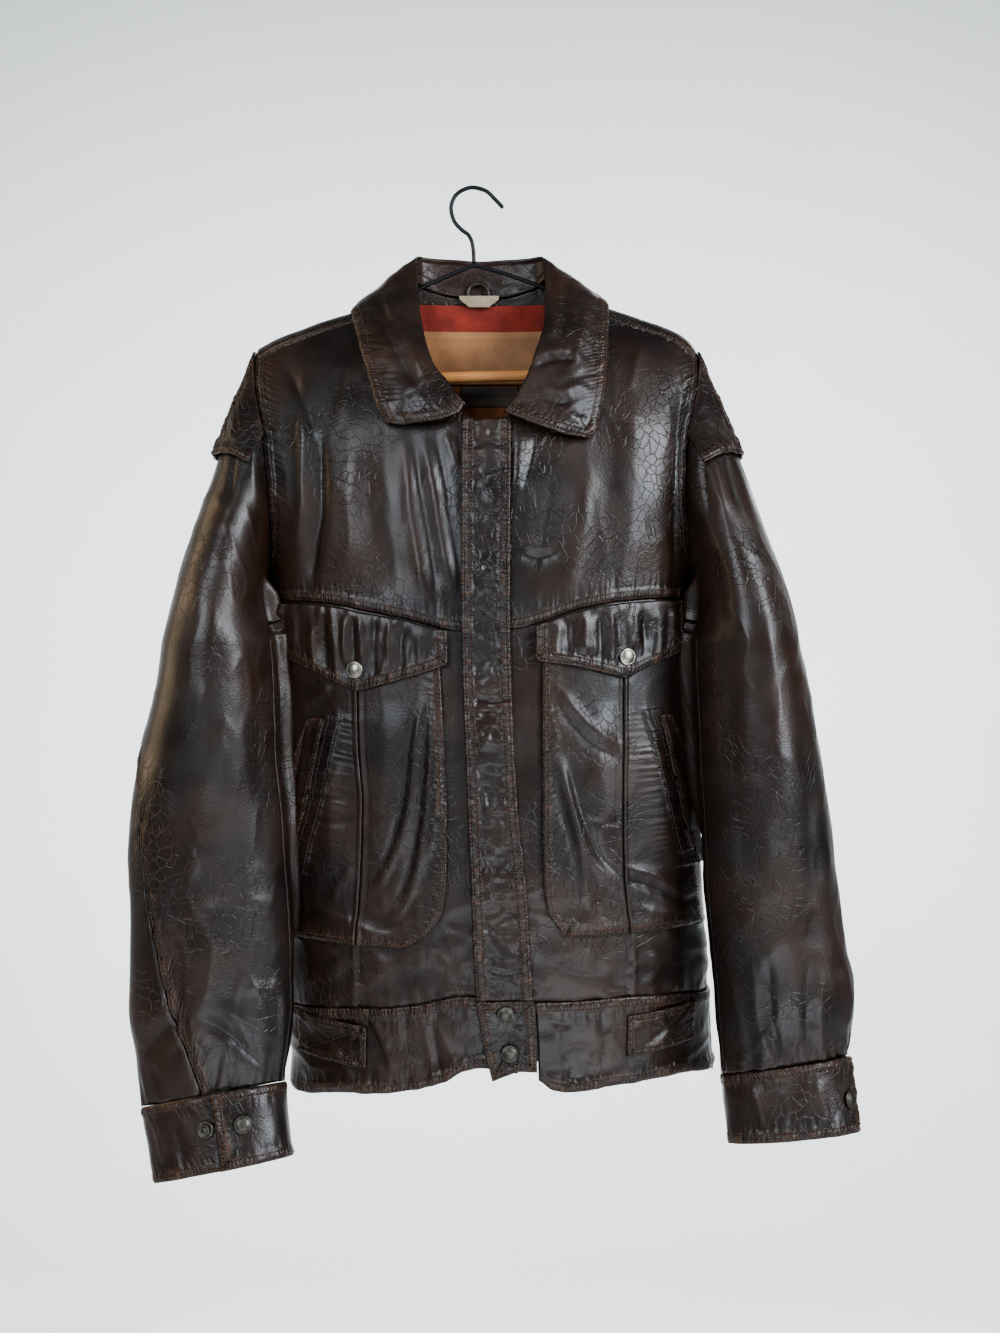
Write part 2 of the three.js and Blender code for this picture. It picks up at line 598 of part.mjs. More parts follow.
// Cuffs: one wall each that winds round and overlaps itself
function cuffs() {
  [{ key: 'r', sign: -1, rings: CUFF_R, edge: CUFF_EDGE_R },
    { key: 'l', sign: 1, rings: CUFF_L, edge: CUFF_EDGE_L }].forEach(({ key, sign, rings, edge }) => {
    const turn = -360 - CUFF_OVERLAP;
    const rows = grid(26, 1, (u, v) => ringPoint(rings, v, edge + u * turn, sign));
    const lift = (u) => CUFF_LAP_LIFT * (1 - smooth(u / CUFF_LAP_SHARE));
    const facing = [rows[0][13][0] - rings[0][1], rows[0][13][1] - rings[0][3], 0];
    add(
      `cuff_${key}`,
      wallGeometry(rows, (u) => lift(u) + 1 - DOUBLE, (u) => lift(u) + 1, facing),
      'leather',
    );
  });
}

// Caps over the sleeve heads, each in a front and a back half that meet at a seam
function shoulderCaps() {
  const middle = (CAP_ANGLES[0] + CAP_ANGLES[1]) / 2 - 22;
  [{ key: 'r', sign: -1, rings: SLEEVE_R }, { key: 'l', sign: 1, rings: SLEEVE_L }]
    .forEach(({ key, sign, rings }) => {
      const reach = (angle) => CAP_REACH - 0.14 * ((angle - 180) / 76) ** 2;
      const halves = { front: [CAP_ANGLES[0], middle - 0.4], back: [middle + 0.4, CAP_ANGLES[1]] };
      Object.entries(halves).forEach(([half, [from, to]]) => {
        const pointAt = (u, v) => {
          const angle = mix(from, to, u);
          return headPoint(rings, mix(0.015, reach(angle), v), angle, sign);
        };
        const inner = (u, v) => CAP_LIFT + 1.5 * v;
        const outer = (u, v) => CAP_LIFT + LEATHER + 1.5 * v;
        wall(`cap_${half}_${key}`, 'leather', 6, 3, pointAt, inner, outer, [sign, 0, 0.4]);
      });
    });
}

// Piece of cloth on the fronts between two lines of height, moved out by lift
function onPanel(name, look, columns, rows, pointAt, lift, thickness) {
  wall(name, look, columns, rows, pointAt, lift, lift + thickness, FORWARD);
}

function pockets() {
  const sides = [
    { key: 'r', inner: POCKET_INNER_R, seam: POCKET_SEAM_R, outer: POCKET_OUTER_R, bottom: POCKET_BOTTOM_R },
    { key: 'l', inner: POCKET_INNER_L, seam: POCKET_SEAM_L, outer: POCKET_OUTER_L, bottom: POCKET_BOTTOM_L },
  ];
  sides.forEach(({ key, inner, seam, outer, bottom }) => {
    const innerX = table(POCKET_LEVEL, inner);
    const seamX = table(POCKET_LEVEL, seam);
    const outerX = table(POCKET_LEVEL, outer);
    const step = Math.sign(innerX(-500) - seamX(-500)) * SEAM_GAP;
    const heights = (x, v) => mix(chestSeam(x) - 1.5, bottom, v);
    const half = (from, to, shift) => (u, v) => {
      const level = mix(-400, bottom, v);
      const x = mix(from(level) + shift, to(level), u);
      return onFront(x, heights(x, v));
    };
    const columns = 5;
    const rows = 9;
    const pieces = { inner: half(seamX, innerX, step), outer: half(seamX, outerX, -step) };
    Object.entries(pieces).forEach(([piece, pointAt]) => {
      onPanel(`pocket_${piece}_${key}`, 'leather', columns, rows, pointAt, POCKET_LIFT, LEATHER);
    });
  });
}

function flaps() {
  [['r', FLAP_R], ['l', FLAP_L]].forEach(([key, flap]) => {
    const bottom = table(flap.bottomX, flap.bottomZ);
    const pointAt = (u, v) => {
      const x = mix(flap.x[0], flap.x[1], u);
      return onFront(x, mix(chestSeam(x) - 0.6, bottom(x), v));
    };
    onPanel(`flap_${key}`, 'leather', 11, 3, pointAt, FLAP_LIFT, DOUBLE);
  });
}

function welts() {
  [['r', WELT_R], ['l', WELT_L]].forEach(([key, welt]) => {
    const outer = table(welt.z, welt.outer);
    const inner = table(welt.z, welt.inner);
    const pointAt = (u, v) => {
      const z = mix(welt.z[welt.z.length - 1], welt.z[0], v);
      return onFront(mix(inner(z), outer(z), u), z);
    };
    onPanel(`welt_${key}`, 'leather', 2, 7, pointAt, WELT_LIFT, LEATHER);
  });
}

function sideTabs() {
  [['r', TAB_R], ['l', TAB_L]].forEach(([key, tab]) => {
    const pointAt = (u, v) => {
      const x = mix(tab.x[0], tab.x[1], u);
      return onFront(x, mix(mix(tab.top[0], tab.top[1], u), mix(tab.bottom[0], tab.bottom[1], u), v));
    };
    onPanel(`tab_${key}`, 'leather', 5, 3, pointAt, TAB_LIFT, LEATHER);
  });
}

function placket() {
  const left = table(PLACKET_LEVEL, PLACKET_R);
  const right = table(PLACKET_LEVEL, PLACKET_L);
  const strip = (u, v) => {
    const z = mix(PLACKET_TOP, PLACKET_CROSS, v);
    return onFront(mix(left(z), right(z), u), z);
  };
  onPanel('placket', 'leather', 3, 14, strip, PLACKET_LIFT, DOUBLE);
  const bottom = table(TAB_BOTTOM_X, TAB_BOTTOM_Z);
  const end = (u, v) => {
    const level = mix(PLACKET_CROSS - SEAM_GAP, TAB_BOTTOM_Z[0], v);
    const x = mix(left(level), right(level), u);
    return onFront(x, mix(PLACKET_CROSS - SEAM_GAP, bottom(x), v));
  };
  onPanel('placket_tab', 'leather', 3, 2, end, PLACKET_LIFT, DOUBLE);
}

// Collar: the fall hangs from the roll line to its edge, bowed out, and the stand holds it up
function collar() {
  const columns = 38;
  const rows = 3;
  const straight = (t, v) => along(ROLL, t).map((value, axis) => mix(value, along(EDGE, t)[axis], v));
  const endShift = (edge, t, v) => along(edge, v).map((value, axis) => value - straight(t, v)[axis]);
  const pointAt = (u, v) => {
    const base = straight(u, v);
    const near = (distance) => Math.max(0, 1 - distance / 0.06) ** 2;
    const first = endShift(END_EDGE_R, 0, v);
    const last = endShift(END_EDGE_L, 1, v);
    const behind = smooth((base[1] + 10) / 40);
    const bow = Math.sin(Math.PI * v);
    return base.map((value, axis) => value + near(u) * first[axis] + near(1 - u) * last[axis]
      + bow * [0, mix(-5, 5, behind), mix(1, 3, behind)][axis]);
  };
  const rowsOfPoints = grid(columns, rows, pointAt);
  add('collar_fall', wallGeometry(rowsOfPoints, -DOUBLE / 2, DOUBLE / 2, BACKWARD), 'collar');
  const seamPoint = (u) => {
    const [x, z] = along(NECK_SEAM, u);
    const rising = along(ROLL, u);
    return [x, mix(front(x, z), back(x, z), smooth((rising[1] + 12) / 25)), z];
  };
  const standAt = (u, v) => {
    const top = along(ROLL, u);
    const behind = smooth((top[1] + 10) / 20);
    top[1] += mix(5, -3.4, behind);
    top[2] -= mix(0, 5, behind);
    return seamPoint(u).map((value, axis) => mix(value, top[axis], mix(0.04, 1, v)));
  };
  const standRows = grid(columns, 2, standAt);
  add('collar_stand', wallGeometry(standRows, -LEATHER / 2, LEATHER / 2, BACKWARD), 'collar');
}

// Lining and patches seen through the neck, each just inside the back
function innerNeck() {
  const layer = (name, look, x, z, lift, thickness, columns) => {
    const pointAt = (u, v) => onBack(mix(x[0], x[1], u), mix(z[0], z[1], v));
    wall(name, look, columns, 3, pointAt, -LEATHER - lift - thickness, -LEATHER - lift, BACKWARD);
  };
  layer('lining_red', 'red', [-66, 80], [-105, -131], 1.4, LINING, 6);
  layer('lining_lower', 'orange', [-66, 80], [-131.5, -228], 1.4, LINING, 6);
  layer('neck_patch', 'tan', [-60, 74], [-129, -178], 3.4, LEATHER, 5);
  layer('lower_patch', 'tan', [-12, 44], [-180, -199], 3.2, LINING, 3);
}

// Cap of a snap: a low dome on a flat foot
function snapGeometry() {
  const profile = [[0, 0], [CAP_RADIUS, 0], [CAP_RADIUS + 0.3, 0.6], [CAP_RADIUS - 0.5, 1.7],
    [CAP_RADIUS - 2.6, 2.6], [CAP_RADIUS - 5, SNAP_HEIGHT], [0, SNAP_HEIGHT + 0.1]];
  return new THREE.LatheGeometry(profile.map(([r, y]) => new THREE.Vector2(r, y)), 14);
}

// Open socket: a ring with a raised lip round a low floor
function socketGeometry() {
  const profile = [[0, 0], [7.2, 0], [7.4, 1], [6.2, 1.9], [4.6, 1.6], [4, 0.8], [2.4, 0.8], [2.2, 2.2],
    [0, 2.6]];
  return new THREE.LatheGeometry(profile.map(([r, y]) => new THREE.Vector2(r, y)), 14);
}

// Place on a surface: foot at the point moved out, axis along the normal
function placed(point, normal, lift) {
  const axis = new THREE.Vector3(...normal).normalize();
  const position = new THREE.Vector3(...point).addScaledVector(axis, lift);
  const quaternion = new THREE.Quaternion().setFromUnitVectors(new THREE.Vector3(0, 1, 0), axis);
  return { position, quaternion };
}

function frontNormal(x, z) {
  const step = 4;
  const slopeX = (front(x + step, z) - front(x - step, z)) / (2 * step);
  const slopeZ = (front(x, z + step) - front(x, z - step)) / (2 * step);
  return [slopeX, -1, slopeZ];
}

function cuffNormal(rings, angle, v, sign) {
  const before = new THREE.Vector3(...ringPoint(rings, v, angle - 3, sign));
  const after = new THREE.Vector3(...ringPoint(rings, v, angle + 3, sign));
  const top = new THREE.Vector3(...ringPoint(rings, 0, angle, sign));
  const low = new THREE.Vector3(...ringPoint(rings, 1, angle, sign));
  const normal = after.sub(before).cross(low.sub(top)).normalize();
  return normal.y > 0 ? normal.negate().toArray() : normal.toArray();
}

function snaps() {
  const onCloth = (name, [x, z], lift) => add(
    name,
    snapGeometry(),
    'metal',
    placed(onFront(x, z), frontNormal(x, z), lift),
  );
  onCloth('snap_flap_r', SNAP_FLAP_R, FLAP_LIFT + DOUBLE + SEAM_GAP);
  onCloth('snap_flap_l', SNAP_FLAP_L, FLAP_LIFT + DOUBLE + SEAM_GAP);
  onCloth('snap_placket_top', SNAP_PLACKET_TOP, PLACKET_LIFT + DOUBLE + SEAM_GAP);
  onCloth('snap_placket_low', SNAP_PLACKET_LOW, PLACKET_LIFT + DOUBLE + SEAM_GAP);
  const onCuff = (name, rings, sign, [angle, v], lift, geometry) => add(
    name,
    geometry,
    'metal',
    placed(ringPoint(rings, v, angle, sign), cuffNormal(rings, angle, v, sign), lift),
  );
  onCuff('snap_cuff_r', CUFF_R, -1, SNAP_CUFF_R, 4.6, snapGeometry());
  onCuff('stud_cuff_r', CUFF_R, -1, STUD_CUFF_R, 1.6, socketGeometry());
  onCuff('snap_cuff_l', CUFF_L, 1, SNAP_CUFF_L, 4.5, snapGeometry());
}

// Round bar or wire along a route
function rod(name, look, points, radius, steps, sides) {
  const section = new THREE.Shape();
  section.absarc(0, 0, radius, 0, Math.PI * 2, false);
  const stops = points.map((point) => new THREE.Vector3(...point));
  const route = new THREE.CatmullRomCurve3(stops, false, 'centripetal');
  const geometry = new THREE.ExtrudeGeometry(section, {
    steps,
    extrudePath: route,
    curveSegments: sides,
    bevelEnabled: false,
  });
  add(name, geometry, look);
}

function hanger() {
  rod('hanger_hook', 'wire', [[29, 0, -17.5], [21, 0, -9], [12, 0, -1], [0, 0, WIRE_R], [-10, 0, -1],
    [-17.5, 0, -8], [-20.3, 0, -18], [-18, 0, -28.5], [-11, 0, -37.5], [-3.5, 0, -43.5], [-0.5, 0, -50],
    [1, 0, -60], [1.4, 0, -70]], WIRE_R, 40, 4);
  const endZ = (x) => BAR_Z + BAR_TILT * x;
  rod('hanger_frame', 'wire', [[BAR_RIGHT_X - 0.4, 0, endZ(BAR_RIGHT_X)], [-190, 0, endZ(-184)],
    [-196, 0, -176], [-195.5, 0, -164], [-190, 0, -156], [-180, 0, -149.5], [-161, 0, -140],
    [-114, 0, -123.5], [-53, 0, -95], [-12, 0, -77], [1.4, 0, -72.2], [20, 0, -76.5], [68, 0, -93],
    [131, 0, -120], [159, 0, -130], [184, 0, -140.5], [197, 0, -149], [202, 0, -158], [201, 0, -167],
    [196, 0, endZ(190)], [BAR_LEFT_X + 0.4, 0, endZ(BAR_LEFT_X)]], WIRE_R, 60, 4);
  rod('hanger_bar', 'wood', [[BAR_RIGHT_X, 0, BAR_Z + BAR_TILT * BAR_RIGHT_X],
    [BAR_LEFT_X, 0, BAR_Z + BAR_TILT * BAR_LEFT_X]], BAR_R, 1, 8);
}

// Loop of leather at the back of the neck, and the size label sewn over its foot
function neckTrim() {
  const loop = new THREE.TorusGeometry(LOOP_R, LOOP_WIRE, 6, 16);
  const loopY = back(LOOP_X, LOOP_Z) - LOOP_STANDS_OFF;
  const position = new THREE.Vector3(LOOP_X, loopY, LOOP_Z);
  const quaternion = new THREE.Quaternion().setFromAxisAngle(new THREE.Vector3(1, 0, 0), Math.PI / 2);
  add('hang_loop', loop, 'leather', { position, quaternion });
  const pointAt = (u, v) => {
    const x = mix(LABEL_X[0], LABEL_X[1], u);
    const corner = Math.max(0, Math.abs(u - 0.5) * 2 - LABEL_FLAT) * LABEL_CORNER;
    return [x, loopY - LOOP_WIRE - SEAM_GAP, mix(LABEL_Z[0], LABEL_Z[1] + corner, v)];
  };
  wall('size_label', 'label', 4, 1, pointAt, -LABEL, 0, BACKWARD);
}

hanger();
yoke();
backPanel();
upperFronts();
lowerFronts();
waistband();
placket();
pockets();
welts();
flaps();
sideTabs();
collar();
shoulderCaps();
sleeves();
cuffs();
innerNeck();
neckTrim();
snaps();

const jacket = new THREE.Group();
meshes.forEach((mesh) => jacket.add(mesh));

export default jacket;
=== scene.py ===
"""Worn leather jacket on a coat hanger, laid out as an add-on and run as a script.

Sizes are in millimetres until a mesh is made. The origin is the inner top of the hook,
+Z is up, the front faces -Y and +X is the wearer's left. Names end in _r for -X and _l for +X.
"""

import math

import bpy
import numpy as np
from bpy.props import FloatProperty, FloatVectorProperty, PointerProperty
from bpy.types import Operator, Panel, PropertyGroup
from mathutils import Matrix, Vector


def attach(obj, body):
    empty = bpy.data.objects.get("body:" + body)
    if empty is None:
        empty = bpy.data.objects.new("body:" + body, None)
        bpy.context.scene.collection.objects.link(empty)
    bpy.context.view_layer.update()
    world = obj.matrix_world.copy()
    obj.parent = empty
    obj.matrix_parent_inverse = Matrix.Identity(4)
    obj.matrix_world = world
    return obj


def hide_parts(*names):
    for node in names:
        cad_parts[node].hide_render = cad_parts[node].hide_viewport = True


bl_info = {
    "name": "Leather jacket on a hanger",
    "version": (1, 0, 0),
    "blender": (4, 5, 0),
    "location": "View3D > Sidebar > Jacket",
    "description": "Builds a worn leather jacket on a wire hanger with a wooden bar",
    "category": "Object",
}

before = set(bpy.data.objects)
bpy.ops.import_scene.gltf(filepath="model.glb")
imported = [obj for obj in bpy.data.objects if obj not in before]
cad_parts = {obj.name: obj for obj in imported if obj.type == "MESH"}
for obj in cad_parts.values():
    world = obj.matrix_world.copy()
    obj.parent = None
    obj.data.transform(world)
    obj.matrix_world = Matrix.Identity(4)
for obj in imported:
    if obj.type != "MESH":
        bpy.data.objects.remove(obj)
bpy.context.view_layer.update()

MM = 0.001
LEATHER = 1.5
DOUBLE = 2.2
LINING = 1.0
SEAM_GAP = 0.4
TUCK = 3.0
GRID_WIDENING = 1.22  # of every cloth grid, which keeps the scene under a million triangles
INNER_WEAR = 0.3
FAR_FROM_BAND = 5.0
SNAP_SEGMENTS = 40
SNAP_PROBE = 4.0
ROD_END = 0.6  # length of a rod's rounded end as a share of its radius
# Rows of stitches, as distances from a border
SEAM_ROWS, HEM_ROWS, CUFF_ROWS, SLEEVE_ROWS = (2.6, 8.2), (2.6, 7.2), (2.4, 6.2), (2.2, 6.2)
POCKET_ROWS, COLLAR_ROWS, PLACKET_ROWS, TAB_ROWS = (2.4, 5.6), (2.6, 9.2), (2.6, 8.7), (2.6, 6.7)
EDGE_ROW, WELT_ROW = (2.4,), (2.2,)
NO_TRIANGLES = np.zeros((0, 3), int)
ALL_ROUND = ("left", "right", "top", "bottom")
INSIDE = (10.0, 0.0, -450.0)

# The jacket's form: section sizes by height
LEVEL = (-840, -790, -720, -620, -520, -420, -330, -290, -240, -200, -160, -90)
CENTRE_X = (29, 26, 22, 16.5, 12.5, 10, 7, 5.5, 4, 4, 4, 4)
HALF_WIDTH = (200, 200, 200, 200, 200, 200, 200, 202, 207, 213, 220, 224)
CENTRE_Y = (17, 17, 17, 17, 16, 14, 10, 7, 4, 2.5, 1, 0.5)
FRONT_DEPTH = (91, 92, 94, 96, 96, 95, 94, 93, 92, 90, 88, 86)
BACK_DEPTH = (17, 17, 18, 19, 21, 24, 27, 27.5, 28, 27, 26, 24)
SQUARENESS = (2.1, 2.1, 2.1, 2.1, 2.1, 2.3, 3.3, 4.2, 5.2, 5.6, 6, 6)
BACK_EDGE = 0.99945
RIDGE_X = (-230, -204, -186, -161, -135, -114, -53, 0, 10, 70, 131, 159, 188, 203, 211, 236)
RIDGE_Z = (-167, -152, -142, -132.4, -123, -116.5, -86, -66, -64, -84, -113.5, -123, -132.5,
           -142, -151.5, -168)
RIDGE_ROUND = 5.0
FRONT_FALL = 90.0
BACK_FALL = 60.0
ARM_LEVEL = (-390, -370, -340, -290, -259, -240, -222, -193, -165, -152)
ARM_HALF = (199, 194, 190, 188, 190, 192, 196, 202, 205, 206)
ARM_TOP = -152.5
ARM_BOTTOM = -389.0
YOKE_DROP = 13.0
BACK_SEAM_Z = -232.0
BACK_WAIST = -757.6
BACK_BAND = (-758.0, -838.0)
YOKE_MIDDLE = 4.0
YOKE_REACH = 206.0
SEAM_CHEST = ((-190, -124, -92, -61, -8, 42, 59, 87, 112, 137, 210),
              (-391, -396, -403, -409, -420.5, -418, -414, -404, -397.5, -393.6, -388))
SEAM_WAIST = ((-175, -128, -92, -50, -4.5, 58, 91, 133, 184, 231),
              (-766, -758, -753.6, -748.4, -738, -743.4, -744.5, -743, -747, -757))
HEM = ((-173, -154, -121, -85, -50, -23, -5, 11, 59, 72, 91, 133, 184, 230),
       (-846, -843, -834, -829.5, -823, -814.5, -804, -801, -812, -821, -824, -820.5, -819, -829))

# Sleeve sections: height, centre x, half width, centre y, half depth, forward pitch and roll
SLEEVES = {
    "r": ((-430, -225, 49, -56, 57, 0, 0), (-470, -227.5, 53.5, -54, 58, 0, 0),
          (-534, -232.5, 62.5, -57, 53, 0, 0), (-605, -234, 70, -59, 48, 4, 0),
          (-676, -230.5, 71.5, -61, 45, 8, 2), (-746, -228.5, 72.5, -66, 42, 12, 5),
          (-790, -226.5, 67, -71, 38, 17, 8), (-825, -225.5, 62.5, -76, 33, 20, 10.4)),
    "l": ((-430, 245, 47, -56, 57, 0, 0), (-470, 250, 50, -54, 58, 0, 0),
          (-534, 256.5, 53.5, -57, 55, 0, 0), (-605, 264, 57, -59, 51, 4, 0),
          (-676, 270.5, 58.5, -61, 48, 8, 2), (-735, 277, 60, -65, 45, 12, 4),
          (-772, 276.5, 57.5, -70, 40, 16, 6), (-799, 274, 54.5, -76, 35, 18, 8.7)),
}
CUFFS = {
    "r": ((-826, -225.3, 62, -76.3, 33, 20, 10.4), (-883, -212, 59, -94, 29, 19, 11.3)),
    "l": ((-800, 274, 54.4, -76.3, 35, 18, 8.7), (-855, 277, 54, -94, 30, 17, 5.9)),
}
BACK_SEAMS = {
    "r": ((-826, -746, -660, -570, -505, -430, -152), (88, 110, 128, 144, 178, 215, 250)),
    "l": ((-800, -700, -605, -505, -430, -152), (172, 190, 205, 215, 225, 250)),
}
SIGN = {"r": -1, "l": 1}
FRONT_SEAM_ANGLE = 12.0
SEAM_HALF_ANGLE = 0.5
BODY_CLEARANCE = 0.6
HEAD_ROWS = 5.0
RING_ROWS = 8.0
CUFF_EDGE = {"r": 84.0, "l": 168.0}
CUFF_TURN = -392.0
CUFF_LAP_LIFT = 3.4
CAP_ANGLES = (104.0, 158.0, 256.0)
CAP_LIFT = 1.0
CAP_SEAM = 0.4
CAP_START = 0.015
CAP_REACH = 0.42
CAP_RISE = 0.20

# Collar, 20 stops from the right end round the neck to the left end
ROLL = ((-5, -86, -222), (-20, -79, -201), (-32, -72, -185), (-41.5, -58, -155), (-48, -40, -120),
        (-52, -14, -84), (-54, 2, -64), (-48, 13, -59), (-20, 20, -59), (7, 22, -60),
        (34, 20, -59), (61, 13, -59), (67.5, 2, -64), (68, -14, -84), (67.5, -38, -116),
        (65.5, -57, -143), (59, -68, -168), (50, -77, -195), (37.5, -84, -218), (29, -87, -229))
EDGE = ((-73, -79, -238), (-81, -77, -226), (-91, -65, -194), (-101, -48, -161), (-109, -28, -134),
        (-113, -14, -119), (-109, 10, -108.5), (-92, 34, -123), (-50, 38, -127), (7, 38, -128),
        (60, 38, -127), (106, 34, -121), (124, 8, -103.5), (127, -16, -114), (126, -30, -134),
        (124, -49, -163), (121, -64, -195), (115, -76, -232), (110, -80, -247), (103, -81, -252))
END_EDGE_R = ((-5, -86, -222), (-9, -86, -231), (-33, -85, -239), (-60, -81, -241), (-73, -79, -238))
END_EDGE_L = ((29, -87, -229), (40, -88, -235), (59, -87, -243), (83, -84, -250), (103, -81, -252))
NECK_SEAM = ((-4, -224), (-22, -208), (-36.5, -184), (-49, -152), (-55.5, -122), (-57.5, -103),
             (-54, -87.5), (-45, -91.8), (-20, -97.2), (7, -99.2), (34, -97.2), (59, -91.3),
             (69, -86), (73.5, -103), (72, -122), (69, -148), (63.5, -176), (54.5, -202),
             (40, -221), (32, -226))

# Front opening
NECK_LEVEL = (-238, -228, -200, -165, -130, -99)
NECK_SIDE = {"r": (11, -9, -31, -47, -56, -61), "l": (15, 40, 57, 68, 73, 76)}
PLACKET_LEVEL = (-814, -777, -739, -652, -566, -393, -234)
PLACKET_R = (20, 11.3, 5.2, 1, -2.5, -7.7, -7)
PLACKET_L = (58.2, 57, 54.6, 49.4, 40.7, 34.6, 35.6)
PLACKET_TOP = -236.0
PLACKET_CROSS = -741.0
PLACKET_LIFT = 4.8
TAB_BOTTOM = ((19, 32, 44, 58), (-812, -806, -803, -804))

# Pieces on the fronts
FLAPS = {
    "r": ((-171, -19), (-178, -151, -124, -98.6, -61, -36, -18),
          (-436, -448, -461.5, -473, -463, -455.5, -449)),
    "l": ((56, 190), (54, 60, 87, 112, 135, 150, 190),
          (-440, -447, -450, -455.5, -461.6, -453, -435)),
}
POCKET_LEVEL = (-698, -693, -680, -660, -632, -570, -524, -430)
POCKETS = {
    "r": {"inner": (-62, -50, -35, -23, -20.4, -19.6, -21, -26),
          "seam": (-100, -99.7, -99, -97.5, -95.7, -93.6, -97.2, -99),
          "outer": (-158, -160, -163, -167, -170, -175, -177, -178), "bottom": -697.0},
    "l": {"inner": (104, 92, 77, 66, 63.4, 62.5, 62.5, 62.5),
          "seam": (141, 140.4, 139, 136.4, 134, 132.8, 133.7, 134.6),
          "outer": (212, 211, 209, 207, 204, 199, 196, 192), "bottom": -687.0},
}
WELTS = {
    "r": ((-640, -609, -575, -534, -497), (-172, -172.5, -168, -158, -144),
          (-162, -155, -145, -136, -127)),
    "l": ((-632, -606, -576, -546, -518, -494), (212, 209, 203, 197, 189, 179),
          (204, 197, 188.5, 180.5, 173.5, 166.5)),
}
TABS = {"r": ((-157, -92), (-766, -770), (-803, -807)),
        "l": ((138, 204), (-760, -757), (-795, -791))}
POCKET_MIDDLE = -500.0
POCKET_LIFT = 3.3
WELT_STRIP = 15.0
WELT_LIFT = 5.5
FLAP_LIFT = 7.2
TAB_LIFT = 3.4
FLAP_SNAPS = {"r": (-98.7, -453.6), "l": (135.5, -442.2)}
PLACKET_SNAPS = {"top": (30.8, -752.5), "low": (34.3, -787)}

